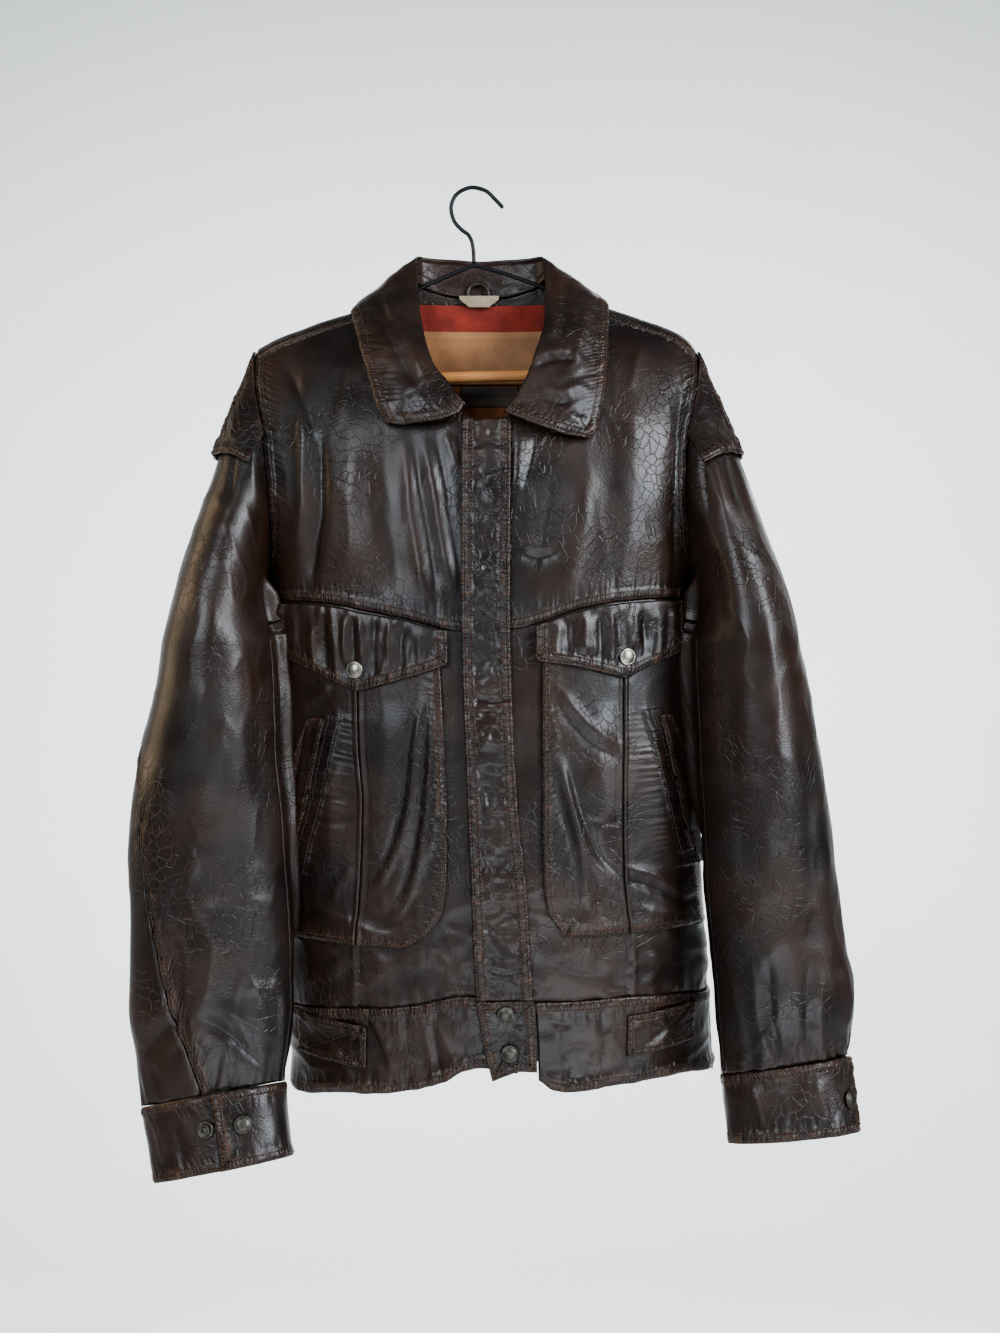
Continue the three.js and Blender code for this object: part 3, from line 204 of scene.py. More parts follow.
# Folds: height, reach to the left and right of the path (below and above where it runs
# to the right), and the path in x and z
FRONT_FOLDS = (
    (-4, 6, 8, ((-177, -165), (-159, -198), (-146, -225), (-137, -252))),
    (-7, 9, 6, ((-132, -241), (-132, -307), (-138, -343), (-143, -390))),
    (3, 5, 8, ((-156, -190), (-149, -240), (-149, -294), (-156, -356))),
    (5, 14, 30, ((-113, -198), (-104, -251), (-104, -322), (-104, -389))),
    (2.2, 3, 5, ((-109, -178), (-114, -209), (-119, -238))),
    (-3, 14, 10, ((-76, -252), (-72, -305), (-66, -358), (-63, -393))),
    (3.2, 6, 5, ((-58, -248), (-52, -309), (-44, -362), (-38, -400))),
    (-2.4, 3, 3.5, ((-50, -252), (-43, -306), (-34, -358), (-29, -396))),
    (3.6, 5, 4, ((-42, -246), (-32, -292), (-25, -336), (-13, -391))),
    (-2.4, 3, 3, ((-30, -249), (-23, -288), (-16, -332), (-9, -375))),
    (2.6, 4, 3, ((-22, -246), (-16, -262), (-10, -279))),
    (3.5, 3, 8, ((42, -244), (40, -288), (45, -297))),
    (-3, 3, 4, ((58, -249), (50, -282), (45, -299))),
    (2.5, 4, 5, ((42, -341), (57, -346), (77, -345))),
    (-2.5, 4, 4, ((43, -354), (61, -358), (78, -351))),
    (3.5, 16, 10, ((103, -271), (98, -323), (89, -371), (84, -403))),
    (-2.5, 10, 8, ((75, -279), (66, -332), (57, -384))),
    (3.5, 18, 22, ((146, -181), (145, -259), (138, -339), (133, -390))),
    (-6, 8, 6, ((195, -176), (187, -247), (185, -320), (185, -389))),
    (2, 4, 6, ((156, -158), (148, -180), (141, -207))),
    (4, 16, 20, ((-68, -480), (-72, -532), (-79, -594), (-85, -621))),
    (3.5, 10, 12, ((-116, -480), (-120, -534), (-122, -596), (-118, -641))),
    (3, 4, 5, ((-38, -466), (-46, -509), (-51, -562), (-61, -603), (-79, -640), (-94, -661))),
    (3, 4, 4, ((-34, -470), (-34, -524), (-39, -587), (-49, -642), (-71, -682))),
    (2.5, 3, 3, ((-27, -478), (-26, -532), (-33, -603), (-43, -628))),
    (-2.5, 3, 4, ((-43, -471), (-52, -515), (-58, -567), (-69, -608), (-87, -642))),
    (-2.5, 3, 3, ((-36, -480), (-40, -532), (-45, -589), (-58, -643), (-76, -674))),
    (2.5, 5, 4, ((-98, -630), (-113, -642), (-121, -661))),
    (2, 4, 4, ((-110, -539), (-121, -552), (-133, -567))),
    (-1.5, 2.5, 2.5, ((-156, -568), (-126, -569), (-101, -565))),
    (-1.5, 2.5, 2.5, ((-138, -588), (-116, -589), (-98, -584))),
    (2.5, 5, 4, ((-119, -466), (-136, -479), (-156, -495))),
    (3.5, 14, 18, ((112, -480), (114, -533), (118, -586), (119, -612))),
    (3, 12, 12, ((160, -481), (164, -534), (172, -589), (178, -625))),
    (3, 5, 4, ((77, -470), (101, -500), (133, -523))),
    (-2, 4, 3, ((75, -480), (96, -511), (130, -535))),
    (3, 4, 5, ((71, -523), (84, -564), (96, -611), (102, -650), (108, -680))),
    (3, 4, 4, ((78, -524), (88, -572), (104, -619), (127, -643), (139, -662))),
    (-2.5, 3, 4, ((84, -532), (96, -578), (112, -616), (132, -636))),
    (-2.5, 3, 3, ((68, -532), (78, -571), (91, -618), (96, -655))),
    (-1.2, 2.5, 2.5, ((100, -586), (118, -588), (134, -586))),
    (3, 4, 4, ((133, -628), (162, -637), (182, -652), (209, -662))),
    (-3, 3, 3, ((136, -638), (162, -649), (190, -665))),
    (2, 4, 4, ((141, -662), (170, -671), (201, -673))),
    (-3, 2.5, 2.5, ((-143, -495), (-152, -531), (-160, -577), (-168, -603))),
    (-3, 2.5, 2.5, ((167, -496), (181, -547), (198, -607), (207, -632))),
    (1.8, 4, 4, ((-159, -745), (-127, -728), (-102, -711))),
    (-1.6, 3, 3, ((-156, -728), (-131, -717), (-108, -703))),
    (1.6, 4, 4, ((-96, -722), (-76, -731), (-58, -736))),
    (1.8, 4, 4, ((151, -703), (174, -717), (208, -721))),
    (-1.6, 3, 3, ((68, -707), (84, -718), (114, -726))),
    (2, 3, 4, ((-87, -760), (-76, -785), (-67, -812))),
    (-1.8, 3, 3, ((-35, -753), (-30, -782), (-27, -813))),
    (1.8, 3, 4, ((78, -749), (75, -782), (80, -820))),
    (-1.5, 3, 3, ((114, -746), (118, -780), (114, -817))),
)
PLACKET_CREASES = (
    (1.5, 2.5, 3.5, ((-2, -334), (13, -341), (29, -350))),
    (1.5, 2.5, 3.5, ((-2, -364), (14, -370), (29, -379))),
    (-1.4, 2, 2, ((-4, -317), (14, -319), (31, -316))),
    (1.2, 3, 3, ((0, -279), (14, -286), (29, -283))),
    (-1.3, 2, 2.5, ((2, -262), (16, -256), (31, -261))),
    (-1.4, 2, 2, ((-2, -398), (16, -405), (35, -400))),
    (1.4, 3, 3, ((0, -428), (17, -436), (36, -433))),
    (-2, 2, 2, ((0, -479), (21, -481), (39, -479))),
    (1.4, 3, 3, ((3, -506), (21, -516), (40, -513))),
    (-1.4, 2, 2, ((3, -541), (23, -547), (42, -541))),
    (1.3, 3, 3, ((5, -567), (24, -577), (43, -572))),
    (-1.3, 2, 2, ((7, -607), (26, -612), (47, -607))),
    (1.3, 3, 3, ((9, -636), (26, -647), (49, -640))),
    (-1.3, 2, 2, ((9, -675), (29, -682), (50, -675))),
    (1.2, 3, 3, ((10, -706), (31, -713), (52, -708))),
)
BACK_FOLDS = (
    (5, 26, 26, ((-90, -250), (-84, -380), (-80, -520))),
    (-4, 14, 14, ((-40, -260), (-36, -400), (-44, -560))),
    (4, 22, 22, ((10, -300), (6, -450), (14, -600))),
    (-4, 14, 14, ((64, -260), (58, -400), (66, -560))),
    (5, 26, 26, ((112, -250), (108, -380), (104, -540))),
    (-5, 10, 14, ((-150, -245), (-156, -340), (-160, -420))),
    (-5, 14, 10, ((172, -245), (176, -340), (180, -420))),
    (3, 8, 10, ((-118, -238), (-116, -270), (-112, -330))),
    (3, 10, 8, ((140, -238), (136, -270), (130, -330))),
    (2.5, 6, 8, ((-120, -640), (-60, -665), (0, -655))),
    (2.2, 6, 8, ((40, -690), (100, -702), (160, -684))),
    (-2, 5, 5, ((-150, -600), (-110, -622), (-70, -628))),
    (-2, 5, 5, ((150, -560), (110, -590), (70, -600))),
    (2, 5, 6, ((-60, -745), (-50, -720), (-44, -690))),
    (2, 5, 6, ((60, -745), (66, -715), (70, -685))),
    (2, 5, 6, ((130, -745), (126, -722), (118, -700))),
)
SLEEVE_FOLDS = {"r": (
    (3, 18, 18, ((-208, -284), (-216, -394), (-222, -496), (-217, -581))),
    (-2.5, 12, 10, ((-186, -326), (-183, -428), (-180, -530), (-176, -632))),
    (2.5, 5, 5, ((-171, -326), (-169, -428), (-164, -547), (-158, -649))),
    (2.5, 4, 4, ((-196, -244), (-194, -275), (-190, -314))),
    (-3, 3, 3.5, ((-187, -244), (-185, -278), (-181, -316))),
    (2.2, 3, 3, ((-181, -250), (-178, -280), (-175, -318))),
    (-2.5, 4, 4, ((-209, -241), (-210, -275), (-209, -309))),
    (2.5, 4, 5, ((-229, -606), (-233, -620), (-240, -635))),
    (-2, 3, 3, ((-209, -656), (-222, -658), (-236, -661))),
    (1.2, 3, 4, ((-198, -652), (-180, -654), (-162, -655))),
    (1.2, 3, 4, ((-194, -727), (-176, -728), (-160, -729))),
    (-3, 4, 5, ((-241, -745), (-261, -761), (-280, -788))),
    (-3, 4, 5, ((-229, -748), (-203, -766), (-174, -797))),
    (3, 5, 6, ((-236, -749), (-232, -772), (-226, -802))),
    (2.5, 5, 5, ((-249, -734), (-270, -747), (-282, -768))),
    (2.5, 3, 4, ((-163, -734), (-164, -777), (-170, -805))),
    (2, 4, 5, ((-215, -739), (-190, -754), (-164, -777))),
    (-2, 3, 4, ((-288, -581), (-272, -586), (-253, -584))),
    (-2, 3, 4, ((-289, -638), (-275, -643), (-258, -641))),
), "l": (
    (2.5, 5, 5, ((189, -284), (191, -394), (196, -496), (204, -615), (211, -717))),
    (-3, 10, 12, ((210, -284), (215, -394), (222, -496), (232, -607), (240, -683))),
    (3.5, 20, 20, ((249, -326), (252, -428), (261, -530), (269, -632))),
    (-2, 8, 8, ((281, -479), (291, -564), (298, -649))),
    (-3, 4, 5, ((253, -696), (256, -747), (264, -787))),
    (2.5, 4, 5, ((243, -700), (245, -751), (257, -787))),
    (-3, 4, 5, ((287, -700), (286, -745), (287, -784))),
    (5, 8, 10, ((320, -704), (326, -734), (322, -768))),
    (2, 4, 4, ((226, -713), (232, -751), (238, -788))),
    (2.6, 4, 4, ((300, -709), (298, -747), (300, -780))),
    (2.4, 4, 4, ((196, -268), (198, -292), (201, -323))),
    (-2.4, 3, 4, ((204, -263), (207, -292), (210, -326))),
    (2.2, 4, 4, ((215, -261), (218, -290), (222, -319))),
    (-2, 4, 4, ((227, -263), (231, -290), (235, -318))),
)}
FLAP_FOLDS = {"r": (
    (2.8, 5, 4, ((-138, -402), (-136, -432), (-133, -461))),
    (-2.2, 3, 3, ((-127, -403), (-126, -432), (-124, -463))),
    (2.6, 4, 3.5, ((-118, -403), (-117, -434), (-115, -465))),
    (2.4, 3, 3, ((-108, -405), (-107.5, -432), (-107, -453))),
    (-2, 2.5, 2.5, ((-101, -405), (-100, -428), (-99, -447))),
    (2.6, 4, 4, ((-94, -406), (-93, -430), (-92, -451))),
    (-2, 3, 3, ((-82, -407), (-82, -434), (-82, -463))),
    (2.6, 5, 5, ((-69, -408), (-69, -434), (-71, -463))),
    (-1.8, 3, 3, ((-58, -411), (-59, -436), (-62, -461))),
    (2.4, 9, 10, ((-44, -412), (-42, -436), (-40, -457))),
    (2, 4, 4, ((-154, -399), (-153, -424), (-152, -447))),
), "l": (
    (2, 6, 6, ((76, -411), (74, -430), (72, -447))),
    (-1.8, 3, 3, ((84, -409), (84, -430), (83, -449))),
    (2.6, 8, 9, ((98, -403), (99, -424), (99, -443))),
    (-2, 3, 3, ((111, -401), (112, -428), (112, -451))),
    (2.4, 5, 4, ((121, -400), (122, -426), (122, -453))),
    (2.2, 4, 4, ((141.5, -398), (142, -418), (142, -437))),
    (-2, 3, 3, ((150, -399), (151, -424), (151, -449))),
    (2.6, 4, 5, ((163, -396), (163, -422), (162, -449))),
    (2, 4, 4, ((178, -395), (177, -420), (176, -443))),
)}
COLLAR_FOLDS = (
    (3.0, 5, 7, ((-85, -100), (-62, -150), (-46, -186), (-30, -210))),
    (-2.2, 4, 5, ((-96, -118), (-78, -152), (-60, -184), (-42, -212))),
    (2.2, 5, 6, ((-76, -98), (-70, -120), (-66, -140))),
    (-1.6, 4, 4, ((-100, -160), (-84, -190), (-72, -214))),
    (3.0, 4, 8, ((52, -184), (66, -176), (80, -173), (92, -177))),
    (-3.0, 3, 4, ((54, -190), (68, -182), (82, -179), (94, -184))),
    (2.2, 4, 5, ((104, -118), (100, -150), (94, -172), (84, -196))),
    (-1.8, 3, 4, ((84, -106), (86, -132), (82, -158))),
    (2.0, 4, 4, ((64, -205), (78, -212), (96, -206), (108, -214))),
    (-2.0, 3, 3, ((60, -214), (76, -222), (92, -219))),
    (1.8, 4, 4, ((80, -228), (92, -236), (104, -234))),
    (1.8, 4, 4, ((70, -118), (76, -140), (72, -160))),
)
CUFF_FOLDS = (
    (1.6, 4, 4, ((-270, -838), (-262, -856), (-258, -872))),
    (-1.4, 3, 3, ((-250, -836), (-244, -852), (-240, -868))),
    (1.5, 4, 4, ((-206, -842), (-200, -856), (-192, -868))),
    (1.5, 4, 4, ((240, -808), (246, -824), (248, -842))),
    (-1.4, 3, 3, ((262, -806), (266, -822), (264, -840))),
    (1.5, 4, 4, ((292, -800), (296, -818), (300, -836))),
)


def mix(a, b, t):
    """a at t = 0, b at t = 1."""
    return a + (b - a) * t


def smooth(t):
    """0 below 0, 1 above 1, and an S between them."""
    s = np.clip(t, 0.0, 1.0)
    return s * s * (3 - 2 * s)


def bell(distance, reach):
    """1 on the line, falling off to each side like a bell."""
    return np.exp(-((distance / reach) ** 2))


def stack(x, y, z):
    """Points from three arrays."""
    return np.stack(np.broadcast_arrays(x, y, z), axis=-1).astype(float)


def curve(xs, ys):
    """Smooth curve through points, level past its ends. Its slope at a point is the harmonic
    mean of the slopes on both sides, or zero at a turn, so it doesn't overshoot."""
    xs, ys = np.asarray(xs, float), np.asarray(ys, float)
    step = np.diff(xs)
    slope = np.diff(ys) / step
    before = 2 * step[1:] + step[:-1]
    after = step[1:] + 2 * step[:-1]
    turning = slope[:-1] * slope[1:] <= 0
    left = np.where(turning, 1.0, slope[:-1])
    right = np.where(turning, 1.0, slope[1:])
    middle = np.where(turning, 0.0, (before + after) / (before / left + after / right))
    tangent = np.concatenate([slope[:1], middle, slope[-1:]])

    def at(value):
        x = np.clip(value, xs[0], xs[-1])
        i = np.clip(np.searchsorted(xs, x, side="right") - 1, 0, len(step) - 1)
        t = (x - xs[i]) / step[i]
        s = 1 - t
        return ((1 + 2 * t) * s * s * ys[i] + t * s * s * step[i] * tangent[i]
                + t * t * (3 - 2 * t) * ys[i + 1] - t * t * s * step[i] * tangent[i + 1])

    return at


def path(points):
    """Smooth line through 3-D points as a function of the share of their number."""
    points = np.asarray(points, float)
    index = np.linspace(0, 1, len(points))
    axes = [curve(index, column) for column in points.T]
    return lambda t: np.stack([axis(t) for axis in axes], axis=-1)


def noise(x, z, seed=0):
    """Smooth random field from about -1 to 1: the mean of two lattices turned to either side,
    so that neither shows, times 1.4."""
    return 0.7 * (lattice(0.91 * x + 0.41 * z, 0.91 * z - 0.41 * x, seed)
                  + lattice(0.84 * x - 0.54 * z, 0.84 * z + 0.54 * x, seed + 0.5))


def lattice(x, z, seed):
    """Random field with one cell a unit: corner values from -1 to 1, blended by an S over
    each cell."""
    ix, iz = np.floor(x), np.floor(z)
    fx, fz = smooth(x - ix), smooth(z - iz)

    def corner(i, j):
        wave = np.sin(i * 127.1 + j * 311.7 + seed * 74.7) * 43758.5453
        return 2 * (wave - np.floor(wave)) - 1

    low = mix(corner(ix, iz), corner(ix + 1, iz), fx)
    high = mix(corner(ix, iz + 1), corner(ix + 1, iz + 1), fx)
    return mix(low, high, fz)


def crinkle(x, z, seed=0):
    """Net of thin ridges, 0 to 1: one minus the size of a random field, sharpened."""
    return np.clip(1 - np.abs(noise(x, z, seed)), 0, 1) ** 4


def creases(x, z, folds):
    """Sum of folds. Each is its height, fading toward both ends of its path and falling off
    to each side as exp of minus (distance over reach) to the power 1.5."""
    total = np.zeros(np.shape(x))
    for height, reach_left, reach_right, stops in folds:
        stops = np.asarray(stops, float)
        index = np.arange(len(stops))
        fine = np.linspace(0, len(stops) - 1, 4 * (len(stops) - 1) + 1)
        line = np.stack([curve(index, stops[:, 0])(fine), curve(index, stops[:, 1])(fine)], 1)
        far = 3 * max(reach_left, reach_right)
        low, high = line.min(0) - far, line.max(0) + far
        near = (x > low[0]) & (x < high[0]) & (z > low[1]) & (z < high[1])
        if not near.any():
            continue
        px, pz = x[near], z[near]
        best = np.full(px.shape, 1e9)
        side = np.zeros(px.shape)
        place = np.zeros(px.shape)
        start = 0.0
        for (ax, az), (bx, bz) in zip(line[:-1], line[1:]):
            length = math.hypot(bx - ax, bz - az)
            dx, dz = (bx - ax) / length, (bz - az) / length
            run = np.clip((px - ax) * dx + (pz - az) * dz, 0, length)
            ox, oz = px - ax - run * dx, pz - az - run * dz
            distance = np.hypot(ox, oz)
            closer = distance < best
            best = np.where(closer, distance, best)
            side = np.where(closer, dx * oz - dz * ox, side)
            place = np.where(closer, start + run, place)
            start += length
        reach = np.where(side > 0, reach_right, reach_left)
        taper = 0.3 * start
        fade = smooth(0.15 + place / taper) * smooth(0.15 + (start - place) / taper)
        total[near] += height * fade * np.exp(-((best / reach) ** 1.5))
    return total


centre_x = curve(LEVEL, CENTRE_X)
half_width = curve(LEVEL, HALF_WIDTH)
centre_y = curve(LEVEL, CENTRE_Y)
front_depth = curve(LEVEL, FRONT_DEPTH)
back_depth = curve(LEVEL, BACK_DEPTH)
squareness = curve(LEVEL, SQUARENESS)
ridge = curve(RIDGE_X, RIDGE_Z)
arm_half = curve(ARM_LEVEL, ARM_HALF)
chest_seam = curve(*SEAM_CHEST)
waist_seam = curve(*SEAM_WAIST)
hem = curve(*HEM)
placket_r = curve(PLACKET_LEVEL, PLACKET_R)
placket_l = curve(PLACKET_LEVEL, PLACKET_L)


def fullness(x, z):
    """How far the section stands out: (1 - |share of half width| ** n) ** (1 / n)."""
    share = np.clip(np.abs(x - centre_x(z)) / half_width(z), 0, 0.99999)
    power = squareness(z)
    return (1 - share**power) ** (1 / power)


def over_ridge(drop, depth, fall):
    """Depth under the shoulder ridge: a quick round over the wire, then a slow fall."""
    return (depth * (1 - np.exp(-drop / fall))
            + RIDGE_ROUND * np.sqrt(1 - np.exp(-drop / RIDGE_ROUND)))


def front(x, z):
    """The front's y: in front of the middle plane by the depth under the ridge times fullness."""
    drop = np.maximum(ridge(x) - z, 0)
    return centre_y(z) - over_ridge(drop, front_depth(z), FRONT_FALL) * fullness(x, z)


def back(x, z):
    """The back's y, by the same rule behind the middle plane."""
    drop = np.maximum(ridge(x) - z, 0)
    return centre_y(z) + over_ridge(drop, back_depth(z), BACK_FALL) * fullness(x, z)


def front_rise(x, z):
    """What the front's cloth stands off its form: main folds, broad waves and fine crinkles."""
    low = smooth((-610 - z) / 90)
    broad = (0.9 * noise(x / 34, z / 70, 1) + 0.35 * noise(x / 17, z / 40, 2)
             + low * (1.3 * noise(x / 24, z / 17, 5) + 1.1 * crinkle(x / 26, z / 17, 6)))
    fine = 0.45 * crinkle(x / 16 + 0.3 * noise(x / 30, z / 30, 3), z / 38, 4)
    return settings().fold_depth * creases(x, z, FRONT_FOLDS) + broad + fine * smooth((ridge(x) - z) / 60)


def back_rise(x, z):
    """What the back's cloth stands off its form."""
    broad = 1.4 * noise(x / 44, z / 90, 11) + 0.6 * noise(x / 18, z / 40, 12)
    fine = 0.7 * crinkle(x / 22, z / 40, 14)
    return settings().fold_depth * creases(x, z, BACK_FOLDS) + broad + fine * smooth((ridge(x) - z) / 60)


class Skin:
    """A surface over u and v from 0 to 1, with what stands up from it.

    where(u, v) gives the smooth form, rise(p, rims) the millimetres along the normal, and
    rims are the distances from the four borders. inside is a point behind the surface, and
    band the borders with a sewn band and its width.
    """

    STEP = 1e-3
    COLUMNS, ROWS = 120, 60

    def __init__(self, where, rise, inside, band=((), 9.0)):
        self.where, self.rise, self.band = where, rise, band
        self.u, self.v = np.linspace(0, 1, self.COLUMNS + 1), np.linspace(0, 1, self.ROWS + 1)
        points = where(*np.meshgrid(self.u, self.v))
        across = np.linalg.norm(np.diff(points, axis=1), axis=-1)
        down = np.linalg.norm(np.diff(points, axis=0), axis=-1)
        left = np.pad(np.cumsum(across, axis=1), ((0, 0), (1, 0)))
        top = np.pad(np.cumsum(down, axis=0), ((1, 0), (0, 0)))
        self.rims = {"left": left, "right": left[:, -1:] - left,
                     "top": top, "bottom": top[-1:] - top}
        self.base = points
        self.sign = 1.0
        half = np.array([0.5])
        if self.normal(half, half)[0] @ (where(half, half)[0] - np.asarray(inside)) < 0:
            self.sign = -1.0

    def distances(self, u, v):
        """Distances from the four borders, blended from a coarse grid of them."""
        gu, gv = np.clip(u, 0, 1) * self.COLUMNS, np.clip(v, 0, 1) * self.ROWS
        i = np.minimum(gu.astype(int), self.COLUMNS - 1)
        j = np.minimum(gv.astype(int), self.ROWS - 1)
        fu, fv = gu - i, gv - j
        return {side: mix(mix(table[j, i], table[j, i + 1], fu),
                          mix(table[j + 1, i], table[j + 1, i + 1], fu), fv)
                for side, table in self.rims.items()}

    def normal(self, u, v):
        """Unit normals: the cross product of differences each way."""
        h = self.STEP
        low_u, high_u = np.clip(u - h, 0, 1), np.clip(u + h, 0, 1)
        low_v, high_v = np.clip(v - h, 0, 1), np.clip(v + h, 0, 1)
        across = self.where(high_u, v) - self.where(low_u, v)
        down = self.where(u, high_v) - self.where(u, low_v)
        facing = np.cross(across, down)
        return self.sign * facing / np.maximum(np.linalg.norm(facing, axis=-1, keepdims=True), 1e-15)

    def at(self, u, v, lift=0.0):
        """Points of the finished surface, moved out by lift."""
        points = self.where(u, v)
        height = self.rise(points, self.distances(u, v)) + lift
        return points + self.normal(u, v) * height[..., None]

    def line(self, side, distance, start=0.0, end=1.0, count=240):
        """u and v of the line that runs beside a border at a distance from it."""
        share = np.linspace(start, end, count)
        table = self.rims[side]
        if side in ("top", "bottom"):
            columns = np.clip(share * self.COLUMNS, 0, self.COLUMNS).astype(int)
            order = slice(None) if side == "top" else slice(None, None, -1)
            other = np.array([np.interp(distance, table[order, c], self.v[order]) for c in columns])
            return share, smooth_line(other)
        rows = np.clip(share * self.ROWS, 0, self.ROWS).astype(int)
        order = slice(None) if side == "left" else slice(None, None, -1)
        other = np.array([np.interp(distance, table[r, order], self.u[order]) for r in rows])
        return smooth_line(other), share

    def band_layers(self, rims):
        """Distance from the banded borders as a share of the band's width, and the place
        along them in millimetres."""
        sides, width = self.band
        if not sides:
            return np.full(rims["left"].shape, FAR_FROM_BAND), rims["left"]
        near, along = nearest_border(rims, sides)
        return np.minimum(near / width, FAR_FROM_BAND), along

    def cut(self):
        """Width, length and area of the smooth piece, in metres: what was cut."""
        width = self.rims["left"][:, -1].max() * MM
        length = self.rims["top"][-1].max() * MM
        p = self.base
        one = np.cross(p[1:, 1:] - p[:-1, :-1], p[1:, :-1] - p[:-1, 1:])
        area = 0.5 * np.linalg.norm(one, axis=-1).sum() * MM * MM
        return width, length, area


def smooth_line(values):
    """A row of values with its steps rounded off."""
    kernel = np.ones(9) / 9
    padded = np.concatenate([np.full(4, values[0]), values, np.full(4, values[-1])])
    return np.convolve(padded, kernel, "valid")


def nearest_border(rims, sides):
    """Distance from the nearest of some borders, and the place along that border."""
    near = np.minimum.reduce([rims[side] for side in sides])
    level = np.minimum.reduce([rims[side] for side in sides if side in ("top", "bottom")]
                              or [np.full(near.shape, np.inf)])
    return near, np.where(level <= near + 1e-9, rims["left"], rims["top"])


def hemmed(rims, sides, width=9.0, height=1.0, ruche=0.7, seed=0):
    """Turned and topstitched borders: a raised strip, two sewn grooves, and ridges across the
    strip that die away over the cloth beside it."""
    near, along = nearest_border(rims, sides)
    strip = 1.25 * height * (1 - smooth((near - width) / 1.8)) - 0.9 * bell(near, 1.1)
    grooves = -0.8 * (bell(near - 2.6, 0.9) + bell(near - width + 0.8, 1.0))
    ridges = (noise(along / 2.6, near / 18, seed) * bell(near - 0.5 * width, 0.42 * width) * 0.75
              + noise(along / 6.5, near / 40, seed + 1) * np.exp(-near / (1.7 * width)) * 1.3)
    return strip + grooves + ruche * ridges


# Meshes

SLOTS = {"leather": "leather", "leather_trim": "leather", "leather_collar": "leather",
         "red_cloth": "red_cloth", "orange_cloth": "orange_cloth", "tan_patch": "tan_patch",
         "dark_patch": "tan_patch", "label_cloth": "label"}


def shape_object(name, points, quads, triangles, material, layers=None):
    """Object in metres from points and faces, smooth, with its point attributes."""
    mesh = bpy.data.meshes.new(name)
    points = np.asarray(points, float).reshape(-1, 3) * MM
    loops = np.concatenate([np.asarray(quads, int).ravel(), np.asarray(triangles, int).ravel()])
    sizes = np.concatenate([np.full(len(quads), 4), np.full(len(triangles), 3)]).astype(int)
    starts = np.concatenate([[0], np.cumsum(sizes)[:-1]]).astype(int)
    mesh.vertices.add(len(points))
    mesh.vertices.foreach_set("co", points.astype(np.float32).ravel())
    mesh.loops.add(len(loops))
    mesh.loops.foreach_set("vertex_index", loops.astype(np.int32))
    mesh.polygons.add(len(sizes))
    mesh.polygons.foreach_set("loop_start", starts.astype(np.int32))
    mesh.update(calc_edges=True)
    mesh.polygons.foreach_set("use_smooth", np.ones(len(sizes), bool))
    for key, values in (layers or {}).items():
        layer = mesh.attributes.new(key, "FLOAT", "POINT")
        layer.data.foreach_set("value", np.asarray(values, np.float32).ravel())
    mesh.materials.append(material)
    obj = bpy.data.objects.new(name, mesh)
    bpy.context.scene.collection.objects.link(obj)
    return obj


def box_mean(values, radius):
    """Mean of each grid point's square neighbourhood."""
    for axis in (0, 1):
        padded = np.pad(values, [(radius, radius) if a == axis else (0, 0) for a in (0, 1)], "edge")
        total = np.cumsum(padded, axis=axis)
        zero = np.zeros_like(np.take(total, [0], axis=axis))
        total = np.concatenate([zero, total], axis=axis)
        span = 2 * radius + 1
        size = values.shape[axis]
        values = (np.take(total, np.arange(span, span + size), axis=axis)
                  - np.take(total, np.arange(size), axis=axis)) / span
    return values


def wall_faces(height, width):
    """Quads of a closed wall on a grid: the outer layer, the inner layer the other way round,
    and the rim between them."""
    index = np.arange(height * width).reshape(height, width)
    a, b = index[:-1, :-1].ravel(), index[:-1, 1:].ravel()
    c, d = index[1:, 1:].ravel(), index[1:, :-1].ravel()
    layer = height * width
    outer = np.stack([a, d, c, b], 1)
    inner = np.stack([a, b, c, d], 1) + layer
    loop = np.concatenate([index[0, :-1], index[:-1, -1], index[-1, :0:-1], index[:0:-1, 0]])
    after = np.roll(loop, -1)
    rim = np.stack([loop, after, after + layer, loop + layer], 1)
    return outer, inner, rim


